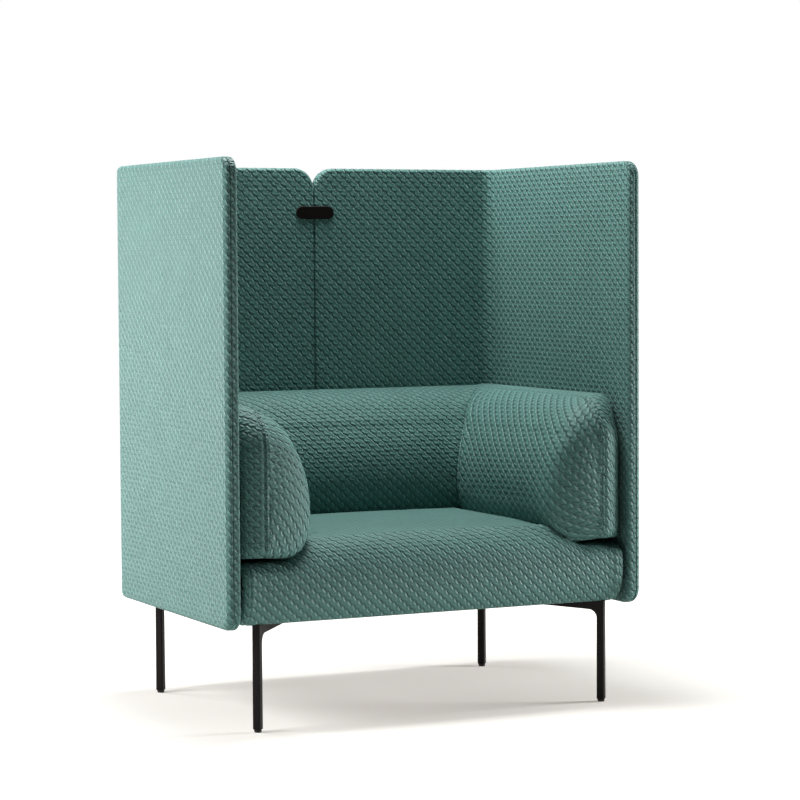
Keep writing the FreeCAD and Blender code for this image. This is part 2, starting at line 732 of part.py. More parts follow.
def glide(corner):
    """Moulded pad and the threaded stem that its centre holds."""
    across, along = leg_place(corner)
    body = doc.addObject("PartDesign::Body", "glide_body_%s" % corner)
    radius = "Sizes.glide_diameter / 2"
    bore = "Sizes.stem_diameter / 2"
    half = [
        ("0", "0"), ("%s - Sizes.glide_edge" % radius, "0"), (radius, "Sizes.glide_edge"),
        (radius, "Sizes.glide_height"), (bore, "Sizes.glide_height"),
        (bore, "Sizes.glide_floor"), ("0", "Sizes.glide_floor"),
    ]
    sketch = outline(body, "glide_half_%s" % corner, "XZ_Plane", half)
    turned = body.newObject("PartDesign::Revolution", "glide_turned_%s" % corner)
    turned.Profile = sketch
    turned.ReferenceAxis = (sketch, ["V_Axis"])
    turned.Angle = 360
    place(body, across, along)
    node(body, "glide_pad_%s" % corner)
    stem_height = "Sizes.glide_height - Sizes.glide_floor + Sizes.stem_length"
    stem = rod("glide_stem_%s" % corner, "z", "Sizes.stem_diameter", stem_height,
               (across, along, "Sizes.glide_floor"))
    return node(stem, "glide_stem_%s" % corner)


leg_screws = []
for corner in CORNERS:
    leg(corner)
    glide(corner)
    shanks = leg_screw_rods("leg_shank_%s" % corner, corner, "Sizes.leg_screw_diameter",
                            SCREW_HEAD_TOP, SCREW_TIP)
    head_low = "%s - Sizes.leg_screw_head_height" % SCREW_HEAD_TOP
    heads = leg_screw_rods("leg_head_%s" % corner, corner, "Sizes.leg_screw_head", head_low, SCREW_HEAD_TOP)
    for number, pair in enumerate(zip(shanks, heads)):
        leg_screws.append(fuse("leg_screw_%s_%d" % (corner, number), list(pair)))
node(compound("leg_screw_group", leg_screws), "leg_screws")
doc.recompute()


# Soft forms: lofts through sections of lines and arcs

def closed_wire(start, runs):
    """Wire from a start point through runs, each a line to a point or an arc through a middle point."""
    edges = []
    here = start
    for run in runs:
        if len(run) == 1:
            edges.append(Part.LineSegment(here, run[0]).toShape())
        else:
            edges.append(Part.Arc(here, run[0], run[1]).toShape())
        here = run[-1]
    return Part.Wire(edges)


def between(low, high, share):
    return low + (high - low) * share


def loft(wires):
    """Solid through a row of sections, with its faces pointing outwards."""
    solid = Part.makeLoft(wires, True, True)
    if solid.Volume < 0:
        solid.reverse()
    return solid


# Outline of a bolster's section as shares of its thickness and height: flat against the screen,
# a narrow top, a face that swells towards the seat, and an underside drawn back in.
BOLSTER_ROUND = 20 / 370
BOLSTER_FACE = [
    ((0.106, 1.0), None),
    ((0.273, 0.992), (0.19, 0.999)),
    ((0.793, 0.738), (0.60, 0.90)),
    ((1.0, 0.311), (0.9375, 0.555)),
    ((0.899, 0.068), (0.978, 0.165)),
    ((0.673, 0.0), (0.800, 0.018)),
    ((0.106, 0.0), None),
]


def bolster_wire(point, outer, thickness, bottom, top):
    """Section of a bolster; point turns a depth from the screen and a height into a place."""

    def spot(share):
        return point(between(outer, thickness, share[0]), between(bottom, top, share[1]))

    quarter = 1 - math.sqrt(0.5)
    side = BOLSTER_FACE[0][0][0]
    runs = [
        (spot((0, 1 - BOLSTER_ROUND)),),
        (spot((side * quarter, 1 - BOLSTER_ROUND * quarter)), spot(BOLSTER_FACE[0][0])),
    ]
    for end, through in BOLSTER_FACE[1:]:
        runs.append((spot(end),) if through is None else (spot(through), spot(end)))
    runs.append((spot((side * quarter, BOLSTER_ROUND * quarter)), spot((0, BOLSTER_ROUND))))
    return closed_wire(spot((0, BOLSTER_ROUND)), runs)


inner_x = value(INNER_X)
inner_y = value(INNER_Y)
front_y = value(FRONT_Y)
bolster_gap = value("Sizes.bolster_gap")
bolster_bottom = value(BOLSTER_BOTTOM)
bolster_top = value(BOLSTER_TOP)
bolster_thickness = value("Sizes.bolster_thickness")
bolster_cover = value("Sizes.bolster_cover")
bolster_board = value("Sizes.bolster_board")
mitre_gap = value("Sizes.mitre_gap")


def arm_section(along, outer, thickness, bottom, top):
    return bolster_wire(lambda depth, height: Vector(inner_x - depth, along, height),
                        outer, thickness, bottom, top)


def back_section(across, outer, thickness, bottom, top):
    return bolster_wire(lambda depth, height: Vector(across, inner_y - depth, height),
                        outer, thickness, bottom, top)


def mitre_space(shift, behind):
    """Space behind or before the right-hand mitre plane, which a shift moves to the rear."""
    reach = 2 * bolster_thickness
    low = bolster_bottom - bolster_cover
    high = bolster_top + bolster_cover
    corner = Vector(inner_x, inner_y + shift, low)
    inside = corner + Vector(-reach, -reach, 0)
    outside = corner + Vector(bolster_cover, bolster_cover, 0)
    third = Vector(inside.x, outside.y, low) if behind else Vector(outside.x, inside.y, low)
    face = Part.Face(Part.makePolygon([inside, outside, third, inside]))
    return face.extrude(Vector(0, 0, high - low))


def outside_bend(gap):
    """Rear corners outside the screens' inner bends, with a gap to the bends."""
    bend = value("Sizes.screen_plan_corner - Sizes.screen_thickness")
    low = value("Sizes.screen_bottom")
    height = value("Sizes.overall_height") - low
    center = Vector(inner_x - bend, inner_y - bend, low)
    block = Part.makeBox(2 * bend, 2 * bend, height, center)
    right = block.cut(Part.makeCylinder(bend - gap, height, center))
    return Part.makeCompound([right, right.mirror(Vector(), X_AXIS)])


half_gap = mitre_gap * math.sqrt(0.5)
bolster_bend = outside_bend(bolster_gap)
arm_front = front_y + value("Sizes.arm_front_setback")
nose_depth = value("Sizes.arm_nose_depth")
seam_offset = value("Sizes.arm_seam_offset")
border_fall = value("Sizes.arm_border_fall")
border_width = value("Sizes.arm_border_width")
top_roll = value("Sizes.arm_top_roll")
bottom_roll = value("Sizes.arm_bottom_roll")
NOSE_ANGLES = (0, 15, 30, 45, 60, 75, 90)

arm_wires = [arm_section(inner_y, bolster_gap, bolster_thickness, bolster_bottom, bolster_top)]
for angle in NOSE_ANGLES:
    turn = math.radians(angle)
    along = arm_front + nose_depth * (1 - math.sin(turn))
    swell = math.cos(turn)
    into_border = max(0, 1 - (along - arm_front) / border_fall)
    outer = bolster_gap + border_width * (1 - math.sqrt(1 - into_border ** 2))
    arm_wires.append(arm_section(
        along, outer, between(seam_offset, bolster_thickness, swell),
        bolster_bottom + bottom_roll * (1 - swell), bolster_top - top_roll * (1 - swell),
    ))
arm_form = loft(arm_wires).cut(mitre_space(-half_gap, behind=True)).cut(bolster_bend)

core_thickness = bolster_thickness - bolster_cover
core_bottom = bolster_bottom + bolster_cover
core_top = bolster_top - bolster_cover
arm_core_front = value(ARM_CORE_FRONT)
arm_core_rear = value(ARM_CORE_REAR)
arm_core_wire = arm_section(arm_core_front, bolster_gap, core_thickness, core_bottom, core_top)
arm_core = Part.Face(arm_core_wire).extrude(Vector(0, arm_core_rear - arm_core_front, 0))
arm_slab = Part.makeBox(
    bolster_board, arm_core_rear - arm_core_front, core_top - core_bottom,
    Vector(inner_x - bolster_gap - bolster_board, arm_core_front, core_bottom),
)

back_half = inner_x
back_swell = value("Sizes.back_crown")
back_wires = [
    back_section(across, bolster_gap, bolster_thickness + swell, bolster_bottom, bolster_top)
    for across, swell in (
        (-back_half, 0), (-back_half / 2, back_swell / 2), (0, back_swell),
        (back_half / 2, back_swell / 2), (back_half, 0),
    )
]
right_arm_space = mitre_space(half_gap, behind=False)
left_arm_space = right_arm_space.mirror(Vector(), X_AXIS)
back_form = loft(back_wires).cut(right_arm_space).cut(left_arm_space).cut(bolster_bend)
back_core_half = value(BACK_CORE_HALF)
back_core_wire = back_section(-back_core_half, bolster_gap, core_thickness, core_bottom, core_top)
back_core = Part.Face(back_core_wire).extrude(Vector(2 * back_core_half, 0, 0))
back_slab = Part.makeBox(
    2 * back_core_half, bolster_board, core_top - core_bottom,
    Vector(-back_core_half, inner_y - bolster_gap - bolster_board, core_bottom),
)

HEAD_POCKET = "Sizes.bolt_head + Sizes.bolt_clearance"
pocket_depth = "Sizes.bolster_gap + Sizes.bolster_board + Sizes.bolt_head_height + Sizes.bolt_clearance"
arm_heads = bores("arm_head_pockets", on_wall(BOLSTER_FIXINGS, "right"), HEAD_POCKET, pocket_depth, "0")
back_heads = bores("back_head_pockets", on_wall(BOLSTER_FIXINGS, "back"), HEAD_POCKET, pocket_depth, "0")
arm_bores = bores("arm_board_bores", on_wall(BOLSTER_FIXINGS, "right"), BOLT_HOLE, pocket_depth, "0")
back_bores = bores("back_board_bores", on_wall(BOLSTER_FIXINGS, "back"), BOLT_HOLE, pocket_depth, "0")
doc.recompute()

arm_cover = node(feature("arm_cover", arm_form.cut(arm_core)), "arm_cover_right")
arm_foam = node(feature("arm_foam", arm_core.cut(arm_slab).cut(arm_heads.Shape)), "arm_foam_right")
arm_board = node(feature("arm_board", arm_core.common(arm_slab).cut(arm_bores.Shape)), "arm_board_right")
node(mirrored("arm_cover_mirror", arm_cover), "arm_cover_left")
node(mirrored("arm_foam_mirror", arm_foam), "arm_foam_left")
node(mirrored("arm_board_mirror", arm_board), "arm_board_left")
node(feature("back_cover", back_form.cut(back_core)), "back_cover")
node(feature("back_foam", back_core.cut(back_slab).cut(back_heads.Shape)), "back_foam")
node(feature("back_board", back_core.common(back_slab).cut(back_bores.Shape)), "back_board")


# Seat cover: crown between the bolsters, a ledge pressed down under them, a bulging front

seat_half = inner_x - value("Sizes.seat_side_gap")
seat_rear = inner_y - value("Sizes.seat_side_gap")
seat_front = front_y + value("Sizes.seat_front_setback")
seat_low = value("Sizes.seat_underside")
seat_ledge = value("Sizes.seat_ledge")
seat_crown = value(SEAT_CROWN)
seat_roll = value("Sizes.seat_edge_roll")
seat_nose = value("Sizes.seat_nose_depth")
# Turning points of the seat's section as shares of its width and rise: a flat ledge to the foot,
# a hollow up to the knee, a swell up to the brow and a crown over the middle.
LEDGE_FOOT = 0.34
LEDGE_KNEE = 0.10
BROW_PLACE = 0.75
KNEE_RISE = 0.38
BROW_RISE = 0.83
HOLLOW_PLACE, HOLLOW_RISE = 0.45, 0.30
SWELL_PLACE, SWELL_RISE = 0.55, 0.60
# Sections behind the front: places as shares of the open depth, then as shares of the bolster's
# thickness behind its face, each with the share of the crown that is pressed away there.
OPEN_SECTIONS = [(0.45, 0.02), (0.75, 0.02)]
PRESSED_SECTIONS = [(-0.10, 0.22), (0.106, 0.74), (0.173, 0.92), (0.25, 0.98)]
REAR_PRESSED = 0.99


def seat_section(along, half, low, ledge, crown):
    """Upright section of the seat across its width at a place along its depth."""

    def spot(across, height):
        return Vector(across, along, height)

    quarter = 1 - math.sqrt(0.5)
    clear = inner_x - bolster_thickness
    foot = between(clear, half, LEDGE_FOOT)
    knee = between(clear, half, LEDGE_KNEE)
    brow = clear * BROW_PLACE
    knee_height = between(ledge, crown, KNEE_RISE)
    brow_height = between(ledge, crown, BROW_RISE)
    hollow = spot(between(knee, foot, HOLLOW_PLACE), between(ledge, knee_height, HOLLOW_RISE))
    swell = spot(between(brow, knee, SWELL_PLACE), between(knee_height, brow_height, SWELL_RISE))
    right = [
        (spot(half - seat_roll * quarter, low + seat_roll * quarter), spot(half, low + seat_roll)),
        (spot(half, ledge - seat_roll),),
        (spot(half - seat_roll * quarter, ledge - seat_roll * quarter), spot(half - seat_roll, ledge)),
        (spot(foot, ledge),),
        (hollow, spot(knee, knee_height)),
        (swell, spot(brow, brow_height)),
    ]
    runs = [(spot(half - seat_roll, low),)] + right
    runs.append((spot(0, crown), spot(-brow, brow_height)))
    ends = [runs[0][-1]] + [run[-1] for run in right]
    for index in range(len(right) - 1, -1, -1):
        run = right[index]
        target = spot(-ends[index].x, ends[index].z)
        if len(run) == 1:
            runs.append((target,))
        else:
            runs.append((spot(-run[0].x, run[0].z), target))
    return closed_wire(spot(-(half - seat_roll), low), runs)


def nose_section(angle):
    """Section in the rounded front; the angle runs from the full section at 0 to the front at 90."""
    turn = math.radians(angle)
    swell = math.cos(turn)
    return seat_section(
        seat_front + seat_nose * (1 - math.sin(turn)),
        seat_half - seat_roll * (1 - swell),
        seat_low + value("Sizes.seat_nose_underside_rise") * (1 - swell),
        seat_ledge - value("Sizes.seat_nose_ledge_drop") * (1 - swell),
        seat_crown - value("Sizes.seat_brow_drop") - value("Sizes.seat_nose_crown_drop") * (1 - swell),
    )


under_back = inner_y - bolster_thickness
seat_wires = [nose_section(angle) for angle in reversed(NOSE_ANGLES)]
stations = [(between(seat_front, under_back, share), pressed) for share, pressed in OPEN_SECTIONS]
stations += [(under_back + bolster_thickness * share, pressed) for share, pressed in PRESSED_SECTIONS]
stations.append((seat_rear, REAR_PRESSED))
for along, pressed in stations:
    crown = between(seat_crown, seat_ledge, pressed)
    seat_wires.append(seat_section(along, seat_half, seat_low, seat_ledge, crown))
seat_form = loft(seat_wires).cut(outside_bend(value("Sizes.seat_side_gap")))

frame_space = box(
    "frame_space",
    (minus(FRAME_X), FRAME_FRONT, "Sizes.seat_underside - %s" % PAST_FACE),
    (FRAME_X, FRAME_REAR, FOAM_BASE),
)
spacer_reach = "Sizes.frame_gap + %s" % PAST_FACE
spacer_space = bores("seat_spacer_space", FRAME_FIXINGS, SPACER_HOLE, spacer_reach, "0")
doc.recompute()

foam_body = doc.addObject("PartDesign::Body", "seat_foam_body")
foam_x = "(%s - Sizes.seat_foam_inset)" % FRAME_X
foam_front = "(%s + Sizes.seat_foam_inset)" % FRAME_FRONT
foam_rear = "(%s - Sizes.seat_foam_inset)" % FRAME_REAR
top_x = "(%s - Sizes.seat_foam_side_slope)" % foam_x
top_front = "(%s + Sizes.seat_foam_front_slope)" % foam_front
top_rear = "(%s - Sizes.seat_foam_side_slope)" % foam_rear
base = [(minus(foam_x), foam_front), (foam_x, foam_front), (foam_x, foam_rear), (minus(foam_x), foam_rear)]
top = [(minus(top_x), top_front), (top_x, top_front), (top_x, top_rear), (minus(top_x), top_rear)]
base_sketch = outline(foam_body, "foam_base", "XY_Plane", base, FOAM_BASE)
foam_top = "%s - Sizes.seat_foam_cover" % SEAT_CROWN
top_sketch = outline(foam_body, "foam_top", "XY_Plane", top, foam_top)
foam_loft = foam_body.newObject("PartDesign::AdditiveLoft", "foam_loft")
foam_loft.Profile = base_sketch
foam_loft.Sections = [top_sketch]
foam_loft.Ruled = True
doc.recompute()
node(foam_body, "seat_foam")
seat_cover = seat_form.cut(frame_space.Shape).cut(foam_body.Shape).cut(spacer_space.Shape)
node(feature("seat_cover", seat_cover), "seat_cover")
doc.recompute()


# Checks and files

for item in doc.Objects:
    if "Invalid" in item.State or "Error" in item.State:
        raise RuntimeError("%s failed: %s" % (item.Name, item.State))
for item in NODES:
    if item.Shape.isNull() or not item.Shape.isValid():
        raise RuntimeError("%s has no valid shape" % item.Label)
os.makedirs("parts", exist_ok=True)
for item in NODES:
    item.Shape.exportStep(os.path.join("parts", item.Label + ".step"))
    solids = item.Shape.Solids
    volume = sum(solid.Volume for solid in solids) / 1000
    print("%-26s %2d solids %10.1f cm3" % (item.Label, len(solids), volume))
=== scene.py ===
import math

import bpy
from mathutils import Matrix, Vector
from mathutils.kdtree import KDTree


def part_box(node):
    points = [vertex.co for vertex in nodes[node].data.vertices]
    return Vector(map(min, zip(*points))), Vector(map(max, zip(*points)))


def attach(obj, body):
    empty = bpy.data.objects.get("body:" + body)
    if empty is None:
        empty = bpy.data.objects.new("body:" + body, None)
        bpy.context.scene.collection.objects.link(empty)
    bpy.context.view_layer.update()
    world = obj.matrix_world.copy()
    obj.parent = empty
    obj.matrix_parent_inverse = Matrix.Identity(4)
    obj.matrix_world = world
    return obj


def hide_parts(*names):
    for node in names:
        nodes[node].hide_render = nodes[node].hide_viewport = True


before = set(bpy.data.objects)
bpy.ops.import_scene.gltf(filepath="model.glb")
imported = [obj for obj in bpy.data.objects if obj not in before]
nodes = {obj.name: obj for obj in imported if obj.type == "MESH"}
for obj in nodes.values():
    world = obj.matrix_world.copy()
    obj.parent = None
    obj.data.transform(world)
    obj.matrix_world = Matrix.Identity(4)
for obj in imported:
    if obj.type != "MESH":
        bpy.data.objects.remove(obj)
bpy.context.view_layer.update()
BODY = "sofa"

# Upholstery cloth: a wool and polyester jacquard, woven double so that small leaf-shaped scales stand
# up between sunk stitch lines. The eye sees a soft matt sea green, with painted shade in the sunk lines
# and a painted highlight on the lips beside them, and a faint bloom of loose fibre where the cloth turns
# away.


def linear(hex_colour):
    """sRGB hex to the linear colour that a shader socket takes."""
    parts = [int(hex_colour[start:start + 2], 16) / 255 for start in (1, 3, 5)]
    return [part / 12.92 if part <= 0.04045 else ((part + 0.055) / 1.055) ** 2.4 for part in parts] + [1.0]


def add_node(tree, kind, inputs=None, output=0, **settings):
    """One output of a new shader node with its settings; an input is a value, or a socket to link from."""
    made = tree.nodes.new("ShaderNode" + kind)
    for name, setting in settings.items():
        setattr(made, name, setting)
    for name, source in (inputs or {}).items():
        if isinstance(source, bpy.types.NodeSocket):
            tree.links.new(source, made.inputs[name])
        else:
            made.inputs[name].default_value = source
    return made.outputs[output] if made.outputs else None


def new_material(name):
    """Material with only a shader and an output in its node tree."""
    material = bpy.data.materials.new(name)
    material.use_nodes = True
    tree = material.node_tree
    tree.nodes.clear()
    shader = tree.nodes.new("ShaderNodeBsdfPrincipled")
    output = tree.nodes.new("ShaderNodeOutputMaterial")
    tree.links.new(shader.outputs["BSDF"], output.inputs["Surface"])
    return material, tree, shader


# Cloth colours: the base, painted shade for the sunk lines, a painted highlight for the lips, and the tint of the
# sheen.
CLOTH_BASE = "#4e7b75"
CLOTH_SUNK_SHADE = "#1c3a38"
CLOTH_LIP_HIGHLIGHT = "#82aca5"
CLOTH_BLOOM = "#d5e2e0"
# Sizes of the weave in millimetres. Rows of scales are shifted by half a scale against each other.
SCALE_WIDTH = 27.3
SCALE_ROW = 12.45
SCALE_SHIFT = SCALE_WIDTH / 2
SCALE_HEAD = 1.8
SCALE_LEFT = 4.9
# One scale, right and down from the top of its slanting side: a soft pillow that leans to the right, a
# sunk stitch line down its slanting side and along its foot, and a lip beyond that line.
STROKES = {
    "pillow": [(6.8, 1.6), (15.8, 4.0)],
    "groove": [(2.0, 0.2), (6.6, 7.2)],
    "lip": [(-0.6, 1.8), (3.4, 8.0)],
    "sunk": [(3.4, 0.2), (9.0, 6.8), (17.6, 8.4)],
}
STROKE_REACH = {"pillow": 3.2, "groove": 1.8, "lip": 2.1, "sunk": 1.9}
STROKE_BLEND = 0.8
RELIEF = {"pillow": 0.62, "groove": -1.10, "lip": 0.85}
RELIEF_M = 0.0026
# The weave wanders by part of a millimetre, as stretched cloth does.
WANDER_MM = 14.286
WANDER_WIDE = 3.0
# Yarn, about 1.2 mm: too fine to show singly, so it is drawn twice as coarse.
YARN_MM = 2.381
YARN_SHADE, YARN_RELIEF = 0.44, 0.22
# Slow change of shade over a hand's breadth, as dyed cloth has.
DYE_MM = 83.33
DYE_SHADE = 0.22
LEAST_SHADE = 0.67
# Share of painted shade in the sunk lines at their darkest.
SUNK_SHADE_SHARE = 0.55


def upholstery_cloth():
    material, tree, shader = new_material("wool_jacquard_cloth")

    def stroke_distance(point, start, end):
        """Distance of a point from a straight stroke."""
        along = Vector((end[0] - start[0], end[1] - start[1], 0))
        away = add_node(tree, "VectorMath", {0: point, 1: (start[0], start[1], 0)}, operation="SUBTRACT")
        share = add_node(tree, "VectorMath", {0: away, 1: along / along.length_squared}, "Value",
                         operation="DOT_PRODUCT")
        share = add_node(tree, "Math", {0: share, 1: 0.0}, operation="ADD", use_clamp=True)
        nearest = add_node(tree, "VectorMath", {0: along, "Scale": share}, operation="SCALE")
        return add_node(tree, "VectorMath", {0: away, 1: nearest}, "Value", operation="DISTANCE")

    place = add_node(tree, "UVMap", uv_map="weave")
    in_mm = add_node(tree, "VectorMath", {0: place, "Scale": 1000.0}, operation="SCALE")
    wander = add_node(tree, "TexNoise", {"Vector": in_mm, "Scale": 1 / WANDER_MM, "Detail": 1.0}, 1)
    wander = add_node(tree, "VectorMath", {0: wander, 1: (0.5, 0.5, 0.5)}, operation="SUBTRACT")
    wander = add_node(tree, "VectorMath", {0: wander, "Scale": WANDER_WIDE}, operation="SCALE")
    spot = add_node(tree, "VectorMath", {0: in_mm, 1: wander}, operation="ADD")
    across, up = add_node(tree, "SeparateXYZ", {0: spot}).node.outputs[:2]
    rows = add_node(tree, "Math", {0: up, 1: SCALE_ROW}, operation="DIVIDE")
    own_row = add_node(tree, "Math", {0: rows}, operation="FLOOR")
    part = add_node(tree, "Math", {0: rows}, operation="FRACT")
    part = add_node(tree, "Math", {0: part, 1: 0.5}, operation="SUBTRACT")
    nearer = add_node(tree, "Math", {0: part}, operation="SIGN")
    next_row = add_node(tree, "Math", {0: own_row, 1: nearer}, operation="ADD")
    nearest_of = {}
    for row in (own_row, next_row):
        top = add_node(tree, "Math", {0: row, 1: SCALE_ROW, 2: SCALE_ROW - SCALE_HEAD}, operation="MULTIPLY_ADD")
        down = add_node(tree, "Math", {0: top, 1: up}, operation="SUBTRACT")
        cell = add_node(tree, "Math", {0: row, 1: SCALE_SHIFT, 2: across}, operation="MULTIPLY_ADD")
        cell = add_node(tree, "Math", {0: cell, 1: SCALE_LEFT}, operation="ADD")
        cell = add_node(tree, "Math", {0: cell, 1: SCALE_WIDTH}, operation="FLOORED_MODULO")
        right = add_node(tree, "Math", {0: cell, 1: SCALE_LEFT}, operation="SUBTRACT")
        point = add_node(tree, "CombineXYZ", {0: right, 1: down})
        for kind, stroke in STROKES.items():
            for start, end in zip(stroke, stroke[1:]):
                away = stroke_distance(point, start, end)
                if kind in nearest_of:
                    away = add_node(tree, "Math", {0: nearest_of[kind], 1: away, 2: STROKE_BLEND},
                                    operation="SMOOTH_MIN")
                nearest_of[kind] = away
    shapes = {}
    for kind, away in nearest_of.items():
        fall = add_node(tree, "Math", {0: away, 1: 1 / STROKE_REACH[kind]}, operation="MULTIPLY")
        fall = add_node(tree, "Math", {0: fall, 1: fall}, operation="MULTIPLY")
        fall = add_node(tree, "Math", {0: fall, 1: -1.0}, operation="MULTIPLY")
        shapes[kind] = add_node(tree, "Math", {0: fall}, operation="EXPONENT")

    yarn = add_node(tree, "TexNoise", {"Vector": in_mm, "Scale": 1 / YARN_MM, "Detail": 2.0, "Roughness": 0.6})
    dye = add_node(tree, "TexNoise", {"Vector": in_mm, "Scale": 1 / DYE_MM, "Detail": 2.0})
    # Painted highlight on the lips, where the raised lip would catch the light.
    colour = add_node(tree, "Mix", {0: shapes["lip"], 6: linear(CLOTH_BASE), 7: linear(CLOTH_LIP_HIGHLIGHT)}, 2,
                      data_type="RGBA")
    # Painted shade in the sunk lines, where the groove would lie in shadow.
    sunk = add_node(tree, "Math", {0: shapes["sunk"], 1: SUNK_SHADE_SHARE}, operation="MULTIPLY")
    colour = add_node(tree, "Mix", {0: sunk, 6: colour, 7: linear(CLOTH_SUNK_SHADE)}, 2, data_type="RGBA")
    shade = add_node(tree, "Math", {0: yarn, 1: YARN_SHADE, 2: LEAST_SHADE}, operation="MULTIPLY_ADD")
    shade = add_node(tree, "Math", {0: dye, 1: DYE_SHADE, 2: shade}, operation="MULTIPLY_ADD")
    colour = add_node(tree, "HueSaturation", {"Value": shade, "Color": colour})
    tree.links.new(colour, shader.inputs["Base Color"])
    relief = add_node(tree, "Math", {0: yarn, 1: YARN_RELIEF}, operation="MULTIPLY")
    for kind, height in RELIEF.items():
        relief = add_node(tree, "Math", {0: shapes[kind], 1: height, 2: relief}, operation="MULTIPLY_ADD")
    bump = add_node(tree, "Bump", {"Height": relief, "Distance": RELIEF_M, "Strength": 1.0})
    tree.links.new(bump, shader.inputs["Normal"])
    shader.inputs["Roughness"].default_value = 0.60
    shader.inputs["Specular IOR Level"].default_value = 0.42
    shader.inputs["Sheen Weight"].default_value = 0.08
    shader.inputs["Sheen Roughness"].default_value = 0.45
    shader.inputs["Sheen Tint"].default_value = linear(CLOTH_BLOOM)
    return material


cloth = upholstery_cloth()

# Screens: each is half of the surround, a bent plywood board between two padded covers. The inner and
# the outer cover meet in a seam round the edge, a little nearer to the outer face, and pull in there.

scene = bpy.context.scene
MERGE_NEAR = 0.00012


def pick(*pieces):
    """Leave object mode on, with only these pieces selected and the first of them active."""
    if bpy.context.object and bpy.context.object.mode != "OBJECT":
        bpy.ops.object.mode_set(mode="OBJECT")
    bpy.ops.object.select_all(action="DESELECT")
    for piece in pieces:
        piece.select_set(True)
    if pieces:
        bpy.context.view_layer.objects.active = pieces[0]


def sewn_piece(name, panels):
    """Closed mesh sewn from panels. A panel is a grid of points with a grid of cloth places in metres."""
    points = []
    faces = []
    places = []
    numbers = []
    for number, (grid, cloth_grid) in enumerate(panels, start=1):
        start = len(points)
        columns = len(grid[0])
        for line in grid:
            points.extend(line)
        for row in range(len(grid) - 1):
            for column in range(columns - 1):
                corners = ((row, column), (row, column + 1), (row + 1, column + 1), (row + 1, column))
                faces.append([start + r * columns + c for r, c in corners])
                places.extend(cloth_grid[r][c] for r, c in corners)
                numbers.append(number)
    mesh = bpy.data.meshes.new(name)
    mesh.from_pydata(points, [], faces)
    layer = mesh.uv_layers.new(name="weave")
    for corner, spot in zip(layer.data, places):
        corner.uv = spot
    mesh.attributes.new("panel", "INT", "FACE").data.foreach_set("value", numbers)
    piece = bpy.data.objects.new(name, mesh)
    scene.collection.objects.link(piece)
    mesh.materials.append(cloth)
    pick(piece)
    bpy.ops.object.mode_set(mode="EDIT")
    bpy.ops.mesh.select_all(action="SELECT")
    bpy.ops.mesh.remove_doubles(threshold=MERGE_NEAR)
    bpy.ops.mesh.select_all(action="DESELECT")
    bpy.ops.mesh.select_mode(type="EDGE")
    bpy.ops.mesh.select_non_manifold()
    bpy.ops.mesh.fill_holes(sides=0)
    bpy.ops.mesh.select_all(action="SELECT")
    bpy.ops.mesh.normals_make_consistent(inside=False)
    bpy.ops.object.mode_set(mode="OBJECT")
    bpy.ops.object.shade_smooth()
    return piece


def steps(low, high, pitch):
    """Even places from low to high, about a pitch apart."""
    count = max(1, round((high - low) / pitch))
    return [low + (high - low) * index / count for index in range(count + 1)]


SCREEN_LOW, SCREEN_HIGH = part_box("screen_outer_pad_right")
SCREEN_THICK = 0.034
INNER_X = SCREEN_HIGH.x - SCREEN_THICK
INNER_Y = SCREEN_HIGH.y - SCREEN_THICK
FRONT_Y = SCREEN_LOW.y
SPLIT_X = SCREEN_LOW.x
BEND = 0.026
SIDE_RUN = INNER_Y - BEND - FRONT_Y
BEND_RUN = BEND * math.pi / 2
BACK_RUN = INNER_X - BEND - SPLIT_X
SCREEN_RUN = SIDE_RUN + BEND_RUN + BACK_RUN
END_CORNER = 0.040
SPLIT_CORNER = 0.055
FLAT_INSET = 0.056
SCREEN_PITCH, BEND_PITCH = 0.022, 0.005
SEAM_DEPTH = 0.0192
CORNER_STEPS = 9


def screen_place(run, height, depth, side):
    """Point of a screen from its place along the inner face, its height and its depth behind that face."""
    if run <= SIDE_RUN:
        x, y = INNER_X + depth, FRONT_Y + run
    elif run <= SIDE_RUN + BEND_RUN:
        turn = (run - SIDE_RUN) / BEND
        x = INNER_X - BEND + (BEND + depth) * math.cos(turn)
        y = INNER_Y - BEND + (BEND + depth) * math.sin(turn)
    else:
        x, y = INNER_X - BEND - (run - SIDE_RUN - BEND_RUN), INNER_Y + depth
    return (side * x, y, height)


def cloth_run(run, depth):
    """Length of cloth along a face at a depth, which is longer round the outside of the bend."""
    extra = min(max(run - SIDE_RUN, 0), BEND_RUN) / BEND_RUN
    return run + extra * depth * math.pi / 2


RUN_STEPS = (steps(FLAT_INSET, SIDE_RUN, SCREEN_PITCH)[:-1]
             + steps(SIDE_RUN, SIDE_RUN + BEND_RUN, BEND_PITCH)[:-1]
             + steps(SIDE_RUN + BEND_RUN, SCREEN_RUN - FLAT_INSET, SCREEN_PITCH))
HEIGHT_STEPS = steps(SCREEN_LOW.z + FLAT_INSET, SCREEN_HIGH.z - FLAT_INSET, SCREEN_PITCH)


